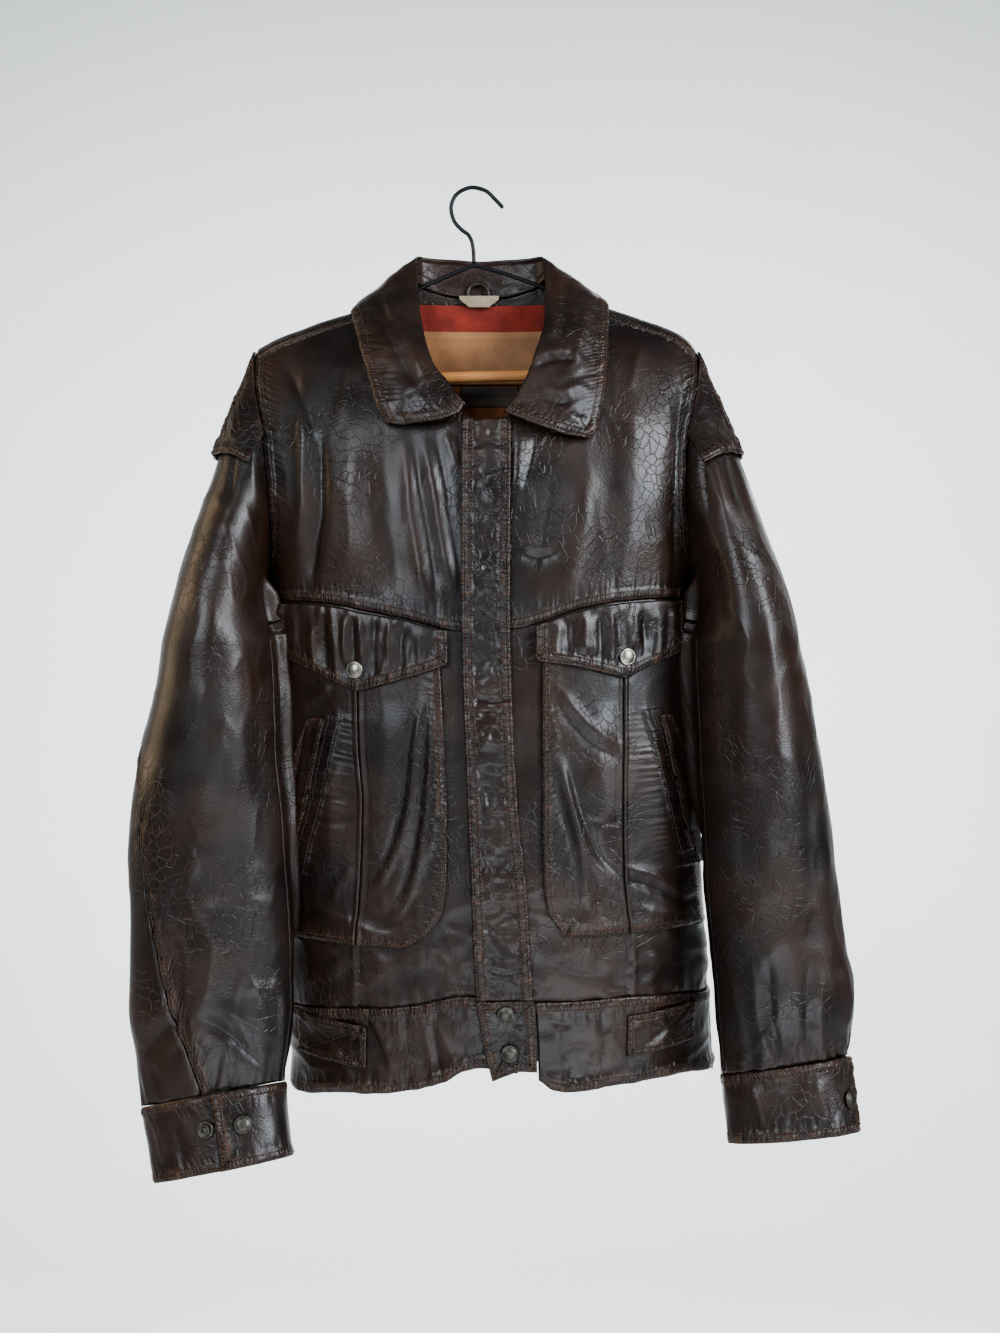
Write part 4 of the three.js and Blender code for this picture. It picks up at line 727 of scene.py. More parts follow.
def cloth(node, skin, spacing, thickness, look, worn=(), wear=1.0, extra_band=None):
    """The cloth piece for a node: a closed thin wall on its skin, its grid set by its cut
    size. Its point layers are wear, on ridges and finished borders, the trough layer, painted
    shade that darkens the hide in its troughs, and edge and along, its place in the sewn bands."""
    width, length, area = skin.cut()
    step = spacing * GRID_WIDENING * MM
    columns, rows = max(3, round(width / step)), max(3, round(length / step))
    u, v = np.meshgrid(np.linspace(0, 1, columns + 1), np.linspace(0, 1, rows + 1))
    rims = skin.distances(u, v)
    base = skin.where(u, v)
    normal = skin.normal(u, v)
    rise = skin.rise(base, rims)
    outer = base + normal * rise[..., None]
    inner = outer - normal * thickness
    standing = rise - box_mean(box_mean(rise, 3), 3)
    ridges = np.clip(standing / 0.7, 0, 1)
    # Troughs of the rise: painted shade, the hide is coloured darker there.
    shade_in_troughs = np.clip(-standing / 0.9, 0, 1)
    border = np.full(rise.shape, 1e3)
    for side in worn:
        border = np.minimum(border, rims[side])
    near = 0.10 + 0.75 * (1 - smooth((border - 7) / 5))
    mask = wear * np.clip(ridges * near + 0.9 * np.exp(-border / 1.3), 0, 1)
    edge, along = skin.band_layers(rims)
    if extra_band:
        edge = np.minimum(edge, extra_band(base[..., 0], base[..., 2]))
    faces = wall_faces(*rise.shape)
    facing = np.cross(outer[1:, 1:] - outer[:-1, :-1], outer[1:, :-1] - outer[:-1, 1:])
    flip = (facing * normal[:-1, :-1]).sum() < 0
    quads = np.concatenate([f if flip else f[:, ::-1] for f in faces])
    layers = {"wear": (mask, INNER_WEAR * mask), "hollow": (shade_in_troughs, shade_in_troughs),
              "edge": (edge, edge), "along": (along, along)}
    obj = shape_object(f"cloth_{node}", np.stack([outer, inner]), quads, NO_TRIANGLES,
                       MATERIALS[look], {key: np.stack(pair) for key, pair in layers.items()})
    dress(obj, SLOTS[look], node)


def dress(obj, slot, *nodes):
    """The piece rides on the one body and stands for its nodes. Its slot is not used."""
    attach(obj, "root")
    if nodes:
        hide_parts(*nodes)


def turned(name, centres, radii, side, up, segments, material):
    """Round shape: circles of the radii on a row of centres, with a point at each end."""
    angle = np.linspace(0, 2 * np.pi, segments, endpoint=False)
    centres, radii = np.asarray(centres, float), np.asarray(radii, float)
    side, up = np.broadcast_to(side, centres.shape), np.broadcast_to(up, centres.shape)
    rings = (centres[1:-1, None] + radii[1:-1, None, None]
             * (np.cos(angle)[None, :, None] * side[1:-1, None]
                + np.sin(angle)[None, :, None] * up[1:-1, None]))
    count = len(rings)
    points = np.concatenate([rings.reshape(-1, 3), centres[:1], centres[-1:]])
    index = np.arange(count * segments).reshape(count, segments)
    after = np.roll(index, -1, axis=1)
    quads = np.stack([index[:-1], after[:-1], after[1:], index[1:]], -1).reshape(-1, 4)
    first, last = count * segments, count * segments + 1
    start = np.stack([np.full(segments, first), after[0], index[0]], 1)
    end = np.stack([np.full(segments, last), index[-1], after[-1]], 1)
    triangles = np.concatenate([start, end])
    if np.dot(np.cross(side[1], up[1]), centres[2] - centres[1]) < 0:
        quads, triangles = quads[:, ::-1], triangles[:, ::-1]
    return shape_object(name, points, quads, triangles, material)


SEWN = {}


def sew(group, skin, u, v, lift=0.35, pitch=3.5):
    """Notes a row of stitches along u and v on a skin, evenly by the pitch."""
    dense = skin.at(u, v, lift)
    run = np.concatenate([[0], np.cumsum(np.linalg.norm(np.diff(dense, axis=0), axis=1))])
    count = max(2, int(run[-1] / pitch))
    stops = (np.arange(count) + 0.5) * run[-1] / count
    su, sv = np.interp(stops, run, u), np.interp(stops, run, v)
    place = skin.at(su, sv, lift)
    ahead = np.stack([np.interp(stops + 0.4, run, dense[:, k]) for k in range(3)], 1)
    behind = np.stack([np.interp(stops - 0.4, run, dense[:, k]) for k in range(3)], 1)
    tangent = ahead - behind
    tangent /= np.maximum(np.linalg.norm(tangent, axis=1, keepdims=True), 1e-9)
    SEWN.setdefault(group, []).append((place, tangent, skin.normal(su, sv)))


def sew_border(group, skin, side, distances, start=0.0, end=1.0, **more):
    """Rows of stitches beside a border."""
    for distance in distances:
        sew(group, skin, *skin.line(side, distance, start, end), **more)


# Materials

MATERIALS = {}
# Sizes of the shaders' noises and nets, per metre
PEBBLES, WRINKLES, NET, BENDS, PATCHES, CLOUDS, SMEARS = 700.0, 105.0, 110.0, 30.0, 14.0, 9.0, 26.0
BEND_REACH = 0.018
BAND_LINES = (0.31, 0.9)  # the sunk stitch lines, as shares of a band's width
RIDGE_PER_MM, PUCKER_PER_MM = 0.50, 0.24
HIDE_BUMP, WEAVE_BUMP, FINE_BUMP = 0.0007, 0.0003, 0.0002  # bump distances in metres
COAT, COAT_ROUGHNESS = 0.16, 0.2


def node_group(name, inputs, outputs):
    """Empty shader group with named sockets, and its input and output nodes."""
    group = bpy.data.node_groups.new(name, "ShaderNodeTree")
    for label, kind, value in inputs:
        socket = group.interface.new_socket(label, in_out="INPUT", socket_type=kind)
        if value is not None:
            socket.default_value = value
    for label, kind in outputs:
        group.interface.new_socket(label, in_out="OUTPUT", socket_type=kind)
    return group, group.nodes.new("NodeGroupInput"), group.nodes.new("NodeGroupOutput")


class Wiring:
    """Short ways to add nodes to a tree and join them."""

    def __init__(self, tree):
        self.tree = tree

    def add(self, kind, settings=None, **inputs):
        node = self.tree.nodes.new(kind)
        for key, value in (settings or {}).items():
            setattr(node, key, value)
        for key, value in inputs.items():
            self.put(node.inputs[key.replace("_", " ")], value)
        return node

    def put(self, socket, value):
        if isinstance(value, bpy.types.NodeSocket):
            self.tree.links.new(value, socket)
        else:
            socket.default_value = value

    def math(self, operation, a, b=0.0, clamp=False, c=0.0):
        node = self.tree.nodes.new("ShaderNodeMath")
        node.operation, node.use_clamp = operation, clamp
        self.put(node.inputs[0], a)
        self.put(node.inputs[1], b)
        self.put(node.inputs[2], c)
        return node.outputs[0]

    def ramp(self, value, low, high, start=0.0, end=1.0):
        node = self.tree.nodes.new("ShaderNodeMapRange")
        node.interpolation_type = "SMOOTHSTEP"
        for key, amount in (("Value", value), ("From Min", low), ("From Max", high),
                            ("To Min", start), ("To Max", end)):
            self.put(node.inputs[key], amount)
        return node.outputs["Result"]

    def blend(self, share, a, b):
        node = self.tree.nodes.new("ShaderNodeMix")
        node.data_type = "RGBA"
        self.put(node.inputs["Factor"], share)
        self.put(node.inputs[6], a)
        self.put(node.inputs[7], b)
        return node.outputs[2]

    def noise(self, vector, scale, detail=2.0, rough=0.5, distortion=0.0):
        return self.add("ShaderNodeTexNoise", Vector=vector, Scale=scale, Detail=detail,
                        Roughness=rough, Distortion=distortion).outputs["Fac"]

    def net(self, vector, scale):
        """Distance to the nearest edge of a net of cells."""
        return self.add("ShaderNodeTexVoronoi", {"feature": "DISTANCE_TO_EDGE"}, Vector=vector,
                        Scale=scale).outputs["Distance"]


def grain_group():
    """Pebbled hide: small cells, soft wrinkles, and a net of hairline creases that comes and
    goes. Puts out a height and the creases' mask, which the hide uses as painted shade."""
    group, given, out = node_group(
        "hide_grain",
        [("Vector", "NodeSocketVector", None), ("Pebble", "NodeSocketFloat", 1.0),
         ("Crease", "NodeSocketFloat", 1.0), ("Wrinkle", "NodeSocketFloat", 0.3)],
        [("Height", "NodeSocketFloat"), ("Crease", "NodeSocketFloat")])
    w = Wiring(group)
    vector = given.outputs["Vector"]
    pebble = w.noise(vector, PEBBLES, 0.0)
    bend = w.add("ShaderNodeTexNoise", Vector=vector, Scale=BENDS, Detail=0.0).outputs["Color"]
    shift = w.add("ShaderNodeVectorMath", {"operation": "SCALE"})
    w.put(shift.inputs[0], bend)
    w.put(shift.inputs["Scale"], BEND_REACH)
    moved = w.add("ShaderNodeVectorMath", {"operation": "ADD"})
    w.put(moved.inputs[0], vector)
    w.put(moved.inputs[1], shift.outputs[0])
    net = w.net(moved.outputs[0], NET)
    patches = w.ramp(w.noise(vector, PATCHES, 0.0), 0.44, 0.62)
    crease = w.math("MULTIPLY", w.ramp(net, 0.0, 0.06, 0.75, 0.0), patches)
    scaled = w.math("MULTIPLY", crease, given.outputs["Crease"])
    folded = w.noise(moved.outputs[0], WRINKLES, 2.0, 0.58, 0.5)
    ridged = w.math("SUBTRACT", 1.0, w.math("ABSOLUTE", w.math("MULTIPLY_ADD", folded, 4.0, c=-2.0)))
    wrinkle = w.math("MULTIPLY", w.math("MAXIMUM", ridged, -1.0), given.outputs["Wrinkle"])
    surface = w.math("MULTIPLY", w.math("MULTIPLY", pebble, 0.42), given.outputs["Pebble"])
    surface = w.math("ADD", surface, wrinkle)
    w.put(out.inputs["Height"], w.math("SUBTRACT", surface, scaled))
    # The creases' mask, for painted shade in the hide's creases.
    w.put(out.inputs["Crease"], crease)
    return group


def wear_group():
    """Rubbed places: the piece's wear layer broken up by blotches. It also hands on the trough layer,
    painted shade for the hide's troughs.
    """
    group, given, out = node_group(
        "rubbed",
        [("Vector", "NodeSocketVector", None), ("Amount", "NodeSocketFloat", 1.0),
         ("Breakup", "NodeSocketFloat", 60.0)],
        [("Mask", "NodeSocketFloat"), ("Hollow", "NodeSocketFloat")])
    w = Wiring(group)
    vector = given.outputs["Vector"]
    layer = w.add("ShaderNodeAttribute", {"attribute_name": "wear"}).outputs["Fac"]
    # The trough layer is painted shade: it darkens the hide's colour in its troughs.
    hollow = w.add("ShaderNodeAttribute", {"attribute_name": "hollow"}).outputs["Fac"]
    blotch = w.noise(vector, given.outputs["Breakup"], 3.0, 0.6)
    rubbed = w.math("MULTIPLY", layer, w.ramp(blotch, 0.32, 0.62))
    mask = w.math("MULTIPLY", rubbed, given.outputs["Amount"], True)
    w.put(out.inputs["Mask"], mask)
    w.put(out.inputs["Hollow"], hollow)
    return group


def band_group():
    """Sewn band: two lines of stitching sunk along it, ridges across it between them, and
    puckers in the cloth beside it, from the piece's edge and along layers."""
    group, given, out = node_group(
        "sewn_band", [("Depth", "NodeSocketFloat", 1.0)],
        [("Height", "NodeSocketFloat"), ("Line", "NodeSocketFloat"), ("Ridge", "NodeSocketFloat")])
    w = Wiring(group)
    edge = w.add("ShaderNodeAttribute", {"attribute_name": "edge"}).outputs["Fac"]
    along = w.add("ShaderNodeAttribute", {"attribute_name": "along"}).outputs["Fac"]
    rows = [w.ramp(w.math("ABSOLUTE", w.math("SUBTRACT", edge, at)), 0.015, 0.07, 1.0, 0.0)
            for at in BAND_LINES]
    line = w.math("MAXIMUM", *rows)
    inside = w.ramp(edge, 0.96, 1.1, 1.0, 0.0)
    beside = w.math("MULTIPLY", w.ramp(edge, 1.0, 3.2, 1.0, 0.0), w.math("SUBTRACT", 1.0, inside))

    def across(per_mm, per_width):
        place = w.add("ShaderNodeCombineXYZ")
        w.put(place.inputs["X"], w.math("MULTIPLY", along, per_mm))
        w.put(place.inputs["Y"], w.math("MULTIPLY", edge, per_width))
        return w.noise(place.outputs[0], 1.0, 0.0)

    ridge = across(RIDGE_PER_MM, 1.1)
    pucker = across(PUCKER_PER_MM, 0.5)
    height = w.math("ADD", w.math("MULTIPLY", ridge, w.math("MULTIPLY", inside, 2.2)),
                    w.math("MULTIPLY", pucker, w.math("MULTIPLY", beside, 2.0)))
    height = w.math("SUBTRACT", height, w.math("MULTIPLY", line, 1.1))
    w.put(out.inputs["Height"], w.math("MULTIPLY", height, given.outputs["Depth"]))
    w.put(out.inputs["Line"], line)
    ridge_tops = w.ramp(ridge, 0.46, 0.62)
    w.put(out.inputs["Ridge"], w.math("ADD", w.math("MULTIPLY", ridge_tops, inside),
                                      w.math("SUBTRACT", 1.0, inside)))
    return group


def weave_group():
    """Plain weave: two crossed waves, one at right angles to the other."""
    group, given, out = node_group(
        "plain_weave",
        [("Vector", "NodeSocketVector", None), ("Threads", "NodeSocketFloat", 2500.0)],
        [("Height", "NodeSocketFloat")])
    w = Wiring(group)
    parts = w.add("ShaderNodeSeparateXYZ", Vector=given.outputs["Vector"])
    across = w.math("SINE", w.math("MULTIPLY", parts.outputs["X"], given.outputs["Threads"]))
    down = w.math("SINE", w.math("MULTIPLY", parts.outputs["Z"], given.outputs["Threads"]))
    w.put(out.inputs["Height"], w.math("MULTIPLY", across, down))
    return group


def new_material(name):
    """Material with a Principled shader, and its wiring and Object coordinates."""
    material = bpy.data.materials.new(name)
    material.use_nodes = True
    material.node_tree.nodes.clear()
    w = Wiring(material.node_tree)
    out = w.add("ShaderNodeOutputMaterial")
    shader = w.add("ShaderNodeBsdfPrincipled")
    material.node_tree.links.new(shader.outputs["BSDF"], out.inputs["Surface"])
    place = w.add("ShaderNodeTexCoord").outputs["Object"]
    MATERIALS[name] = material
    return w, shader, place


def use(w, group, **inputs):
    """A shader group placed in a material with its own values."""
    node = w.tree.nodes.new("ShaderNodeGroup")
    node.node_tree = group
    for key, value in inputs.items():
        w.put(node.inputs[key], value)
    return node


def leather_material(name, dark, brown, rubbed, roughness, groups, pebble=1.0, crease=1.0, wear=1.0,
                     wrinkle=0.3):
    """Glazed dark hide: brown blotches on near black, lighter where rubbed, with painted shade that
    darkens its hairline creases and troughs, dark sunk stitch lines, and grain and crease bump under a thin
    clear finish."""
    w, shader, place = new_material(name)
    grain = use(w, groups["grain"], Vector=place, Pebble=pebble, Crease=crease, Wrinkle=wrinkle)
    band = use(w, groups["band"], Depth=1.0)
    rub = use(w, groups["wear"], Vector=place, Amount=wear)
    clouds = w.noise(place, CLOUDS, 3.0, 0.6)
    tone = w.ramp(clouds, 0.36, 0.66)
    body = w.blend(tone, (*dark, 1), (*brown, 1))
    rubbed_part = w.math("MULTIPLY", rub.outputs["Mask"], band.outputs["Ridge"])
    worn = w.blend(rubbed_part, body, (*rubbed, 1))
    # Painted shade: the colour is darkened in the hairline creases and in the fold troughs; the sunk stitch
    # lines are drawn dark as well.
    sunk = w.math("MULTIPLY", grain.outputs["Crease"], 0.55)
    painted_shade_and_stitch_lines = w.math("ADD", sunk, w.math("MULTIPLY", rub.outputs["Hollow"], 0.45), True)
    painted_shade_and_stitch_lines = w.math("MAXIMUM", painted_shade_and_stitch_lines, w.math("MULTIPLY", band.outputs["Line"], 0.85))
    colour = w.blend(painted_shade_and_stitch_lines, worn, (dark[0] * 0.5, dark[1] * 0.5, dark[2] * 0.5, 1))
    w.put(shader.inputs["Base Color"], colour)
    smear = w.noise(place, SMEARS, 1.0)
    rough = w.math("ADD", w.ramp(smear, 0.3, 0.7, roughness - 0.06, roughness + 0.08),
                   w.math("MULTIPLY", rub.outputs["Mask"], 0.12), True)
    w.put(shader.inputs["Roughness"], rough)
    shader.inputs["Specular IOR Level"].default_value = 0.5
    shader.inputs["Coat Weight"].default_value = COAT
    shader.inputs["Coat Roughness"].default_value = COAT_ROUGHNESS
    height = w.math("ADD", w.math("MULTIPLY", grain.outputs["Height"], 0.55),
                    band.outputs["Height"])
    bumped = w.add("ShaderNodeBump", Strength=0.8, Distance=HIDE_BUMP, Height=height)
    w.put(shader.inputs["Normal"], bumped.outputs["Normal"])


def cloth_material(name, colour, shade, groups, threads=2500.0, roughness=0.85):
    """Woven cloth: two tones of one colour over a plain weave."""
    w, shader, place = new_material(name)
    weave = use(w, groups["weave"], Vector=place, Threads=threads)
    tone = w.ramp(w.noise(place, 40.0, 4.0, 0.6), 0.35, 0.65)
    w.put(shader.inputs["Base Color"], w.blend(tone, (*colour, 1), (*shade, 1)))
    shader.inputs["Roughness"].default_value = roughness
    bumped = w.add("ShaderNodeBump", Strength=0.4, Distance=WEAVE_BUMP, Height=weave.outputs["Height"])
    w.put(shader.inputs["Normal"], bumped.outputs["Normal"])


def metal_material(name, colour, roughness, metallic, scratch=0.1):
    """Worn metal or lacquer: smudged roughness, darker blotches and fine scratches."""
    w, shader, place = new_material(name)
    smudge = w.noise(place, 180.0, 4.0, 0.6)
    darker = tuple(c * 0.45 for c in colour)
    w.put(shader.inputs["Base Color"], w.blend(w.ramp(smudge, 0.35, 0.7), (*colour, 1),
                                               (*darker, 1)))
    w.put(shader.inputs["Roughness"], w.ramp(smudge, 0.3, 0.7, roughness, roughness + 0.15))
    shader.inputs["Metallic"].default_value = metallic
    fine = w.noise(place, 900.0, 2.0)
    bumped = w.add("ShaderNodeBump", Strength=scratch, Distance=FINE_BUMP, Height=fine)
    w.put(shader.inputs["Normal"], bumped.outputs["Normal"])


def wood_material(name, light, dark):
    """Varnished wood: growth bands stretched along the bar under a clear coat."""
    w, shader, place = new_material(name)
    mapping = w.add("ShaderNodeMapping", Vector=place)
    mapping.inputs["Scale"].default_value = (4, 90, 90)
    bands = w.noise(mapping.outputs["Vector"], 1.6, 5.0, 0.6, 0.4)
    fibre = w.noise(mapping.outputs["Vector"], 9.0, 2.0)
    tone = w.math("ADD", w.math("MULTIPLY", bands, 0.75), w.math("MULTIPLY", fibre, 0.25))
    w.put(shader.inputs["Base Color"], w.blend(w.ramp(tone, 0.36, 0.66), (*light, 1), (*dark, 1)))
    shader.inputs["Roughness"].default_value = 0.38
    shader.inputs["Coat Weight"].default_value = 0.5
    shader.inputs["Coat Roughness"].default_value = 0.15
    bumped = w.add("ShaderNodeBump", Strength=0.15, Distance=FINE_BUMP, Height=fibre)
    w.put(shader.inputs["Normal"], bumped.outputs["Normal"])


def plain_material(name, colour, roughness):
    """Even painted surface with a faint mottle, for the stage and thread."""
    w, shader, place = new_material(name)
    tone = w.noise(place, 3.0, 3.0)
    paler = tuple(min(1.0, c * 1.06) for c in colour)
    w.put(shader.inputs["Base Color"], w.blend(tone, (*colour, 1), (*paler, 1)))
    shader.inputs["Roughness"].default_value = roughness


# The pieces' forms

def toward_side(u):
    """Share across a panel, with columns closer together toward the side."""
    return np.sin(u * np.pi / 2) * 0.75 + u * 0.25


def across_panel(u, v, inner, outer, top, bottom):
    """x and z over a front panel. Its side edges depend on z and its seams on x, so both
    settle in four passes. Columns close up toward the side."""
    share = toward_side(u)
    z = mix(top(10.0), bottom(10.0), v)
    x = z
    for _ in range(4):
        x = mix(inner(z), outer(z), share)
        z = mix(top(x), bottom(x), v)
    return x, z


def on_front(x, z):
    """Points on the front's form."""
    return stack(x, front(x, z), z)


def on_back(x, z):
    """Points on the back's form."""
    return stack(x, back(x, z), z)


def arm_x(sign, z):
    """The armhole's edge at a height."""
    return centre_x(z) + sign * arm_half(z)


def side_x(sign, z):
    """The side seam at a height."""
    return centre_x(z) + sign * half_width(z)


def yoke_seam_x(sign, z):
    """Where the front yoke seam, a fixed drop under the ridge, meets a height."""
    reach = np.linspace(56, YOKE_REACH, 301)
    heights = ridge(YOKE_MIDDLE + sign * reach) - YOKE_DROP
    return YOKE_MIDDLE + sign * np.interp(-z, -heights, reach)


def front_edge(key, z):
    """Front edge of a panel: the neckline above, and the middle of the placket below it."""
    under = mix(placket_r(z), placket_l(z), 0.5) + 2 * SIGN[key]
    return np.where(z > NECK_LEVEL[0], curve(NECK_LEVEL, NECK_SIDE[key])(z), under)


def front_skin(where_xz, lift=0.0, bands=None, extra=None):
    """Skin of a piece on the front: the front's own rise, its lift, and its sewn borders."""
    def where(u, v):
        return on_front(*where_xz(u, v))

    def rise(p, rims):
        x, z = p[..., 0], p[..., 2]
        total = front_rise(x, z) + lift
        if bands:
            total = total + hemmed(rims, **bands)
        if extra:
            total = total + extra(x, z, rims)
        return total

    band = (bands["sides"], bands.get("width", 9.0)) if bands else ((), 9.0)
    return Skin(where, rise, INSIDE, band)


def ring_curves(rings):
    """One curve for each column of a list of sections, by section number."""
    index = np.arange(len(rings))
    return [curve(index, column) for column in np.array(rings, float).T]


RINGS = {key: ring_curves(rings) for key, rings in SLEEVES.items()}
CUFF_RINGS = {key: ring_curves(rings) for key, rings in CUFFS.items()}


def ring_at(curves, place, angle, sign):
    """Point of a section: an ellipse, its angle 0 underarm, 90 in front and 180 outside,
    pitched forward and rolled."""
    z, x, half_x, y, half_y, pitch, roll = (c(place) for c in curves)
    a = np.radians(angle)
    sideways = -sign * half_x * np.cos(a)
    forward = half_y * np.sin(a)
    lift = forward * np.sin(np.radians(pitch)) + sideways * np.sin(np.radians(roll))
    return stack(x + sideways * np.cos(np.radians(roll)),
                 y - forward * np.cos(np.radians(pitch)), z + lift)


def armhole(angle, sign):
    """The armhole's edge, by the angle round the sleeve."""
    a = np.radians(angle)
    z = mix(ARM_BOTTOM, ARM_TOP - 1, (1 - np.cos(a)) / 2)
    x = arm_x(sign, z)
    return stack(x + sign * 0.2, np.where(np.sin(a) >= 0, front(x, z), back(x, z)), z)


def head_at(key, t, angle):
    """Sleeve head: a cubic from the armhole to the first section, leaving outwards and
    forwards and arriving downwards."""
    sign = SIGN[key]
    start = armhole(angle, sign)
    end = ring_at(RINGS[key], 0.0 * t, angle, sign)
    a = np.radians(angle)
    out = (1 - np.cos(a)) / 2
    forward = np.sin(a)
    leave = stack(sign * mix(6, 46, out), np.where(forward > 0, -70, -20) * forward,
                  -mix(30, 120, out))
    arrive = stack(sign * mix(-4, 26, out), 0 * out, -mix(40, 150, out))
    t = np.asarray(t)[..., None]
    t2, t3 = t * t, t * t * t
    return ((2 * t3 - 3 * t2 + 1) * start + (t3 - 2 * t2 + t) * leave
            + (3 * t2 - 2 * t3) * end + (t3 - t2) * arrive)


def clear_of_body(points, sign, share):
    """Sleeve points pushed out sideways until they clear the body's side, or drawn in beside
    it where only a narrow gap is left."""
    x, y, z = points[..., 0], points[..., 1], points[..., 2]
    below = smooth((ARM_BOTTOM + 26 - z) / 24) * smooth(share * 2.5)
    depth = RIDGE_ROUND + np.where(y < centre_y(z), front_depth(z), back_depth(z))
    aside = np.clip(np.abs(y - centre_y(z)) / depth, 0, 1)
    power = squareness(z)
    limit = half_width(z) * (1 - aside**power) ** (1 / power) + BODY_CLEARANCE
    out = sign * (x - centre_x(z))
    gap = np.maximum(0, out - limit - 1.5)
    draw = gap * (1 - smooth((gap - 13) / 10)) * smooth((z + 735) / 45)
    push = np.where(aside < 1, below * (np.maximum(0, limit - out) - draw), 0)
    return stack(x + sign * push, y, z)


def sleeve_at(key, v, angle):
    """Point of a sleeve: its head, then its sections."""
    row = v * (HEAD_ROWS + RING_ROWS)
    sections = len(SLEEVES[key]) - 1
    head = head_at(key, np.clip(row / HEAD_ROWS, 0, 1), angle)
    place = np.clip((row - HEAD_ROWS) / RING_ROWS, 0, 1) * sections
    tube = ring_at(RINGS[key], place, angle, SIGN[key])
    points = np.where((row <= HEAD_ROWS)[..., None], head, tube)
    return clear_of_body(points, SIGN[key], row / HEAD_ROWS)


def sleeve_rise(key, p, seed):
    """A sleeve's folds, weaker behind, with broad waves and fine crinkles."""
    x, y, z = p[..., 0], p[..., 1], p[..., 2]
    face = mix(1.0, 0.55, smooth((y + 60) / 50))
    broad = 1.3 * noise(x / 26 + y / 60, z / 95, seed) + 0.6 * noise(x / 15 + y / 30, z / 40, seed + 1)
    fine = 0.7 * crinkle(x / 18 + y / 26, z / 34, seed + 2)
    return settings().fold_depth * face * creases(x, z, SLEEVE_FOLDS[key]) + broad + fine


def collar_at(u, v):
    """The fall: straight from the roll line to the outer edge and bowed out between them,
    with its two ends bent to the ends' own edges."""
    roll, edge = path(ROLL), path(EDGE)
    first, last = path(END_EDGE_R), path(END_EDGE_L)

    def straight(t):
        return mix(roll(t), edge(t), v[..., None])

    base = straight(u)
    start = first(v) - straight(np.zeros_like(u))
    end = last(v) - straight(np.ones_like(u))
    near_start = (np.maximum(0, 1 - u / 0.06) ** 2)[..., None]
    near_end = (np.maximum(0, 1 - (1 - u) / 0.06) ** 2)[..., None]
    behind = smooth((base[..., 1] + 10) / 40)
    bow = np.sin(np.pi * np.clip(v, 0, 1))
    bulge = stack(0 * u, bow * mix(-5, 5, behind), bow * mix(1, 3, behind))
    return base + near_start * start + near_end * end + bulge


def stand_at(u, v):
    """The stand: from the neck seam up to just inside the roll line."""
    seam_x, seam_z = (curve(np.linspace(0, 1, 20), column) for column in np.array(NECK_SEAM).T)
    x, z = seam_x(u), seam_z(u)
    top = path(ROLL)(u)
    turn = smooth((top[..., 1] + 12) / 25)
    seam = stack(x, mix(front(x, z), back(x, z), turn), z)
    behind = smooth((top[..., 1] + 10) / 20)
    upper = top + stack(0 * u, mix(5, -3.4, behind), -5 * behind)
    return mix(seam, upper, mix(0.04, 1.0, v)[..., None])


# Building the groups

def settings():
    """The jacket's settings on the scene."""
    return bpy.context.scene.jacket


def upper_front(key):
    """x and z of an upper front: neckline to armhole, its foot following the chest seam."""
    sign = SIGN[key]

    def where_xz(u, v):
        z = mix(-101.0, -405.0, v)
        inner = front_edge(key, z)
        arm = arm_x(sign, np.maximum(z, ARM_BOTTOM))
        outer = np.where(z > ARM_TOP - YOKE_DROP, yoke_seam_x(sign, z), arm)
        outer = sign * np.maximum(sign * outer, sign * inner + 2)
        x = mix(inner, outer, toward_side(u))
        return x, z + smooth((-300 - z) / 105) * (chest_seam(x) + SEAM_GAP + 405)

    return where_xz


def lower_front(key):
    """x and z of a lower front: placket to side seam, chest seam to waist seam."""
    sign = SIGN[key]
    return lambda u, v: across_panel(u, v, lambda z: front_edge(key, z), lambda z: side_x(sign, z),
                                     lambda x: chest_seam(x) + TUCK,
                                     lambda x: waist_seam(x) - TUCK)


def waist_front(key):
    """x and z of a front waistband: its end at the placket to the side seam, waist to hem."""
    starts = {"r": lambda z: placket_l(-790.0) - 16 + 0 * z, "l": lambda z: placket_l(z) + 1.5}
    sign = SIGN[key]
    return lambda u, v: across_panel(u, v, starts[key], lambda z: side_x(sign, z),
                                     lambda x: waist_seam(x) - SEAM_GAP, hem)


def back_grid(top, bottom):
    """Points of a back piece between two heights, columns closer toward the sides."""
    def where(u, v):
        z = mix(top, bottom, v)
        half = np.where(z > ARM_BOTTOM, arm_half(z), half_width(z) * BACK_EDGE)
        return on_back(centre_x(z) + half * np.sin((u - 0.5) * np.pi), z)

    return where


def yoke_where(u, v):
    """Points of the yoke. Its rows go from in front of the shoulder ridge over it and down
    the back, at drops that grow as a power 1.5, and its columns close up beside the neck."""
    stops = (-202, -188, -165, -140, -112, -84, -68, -61, -58.8, -57, -53, -44, -20, 7, 34, 58, 67,
             71, 73.6, 76, 92, 120, 148, 172, 195, 210)
    x = curve(np.linspace(0, 1, len(stops)), stops)(u)
    neck = curve((-53, -44, -20, 7, 34, 58, 67), (-90.5, -92.8, -98, -100, -98, -92.3, -89.5))
    turn = YOKE_DROP - 1.3
    start = np.maximum(2, ridge(x) - neck(x))
    start = mix(-turn, start, np.clip((x + 61) / 4, 0, 1) * np.clip((76 - x) / 5, 0, 1))
    end = ridge(x) - BACK_SEAM_Z
    root = mix(np.sign(start) * np.abs(start) ** (2 / 3), end ** (2 / 3), v)
    drop = np.sign(root) * np.abs(root) ** 1.5
    z = ridge(x) - np.abs(drop)
    aside = x - YOKE_MIDDLE
    narrow = mix(1, arm_half(z) / YOKE_REACH, smooth((np.abs(aside) - 120) / 86))
    x = YOKE_MIDDLE + aside * narrow
    return stack(x, np.where(drop < 0, front(x, z), back(x, z)), z)


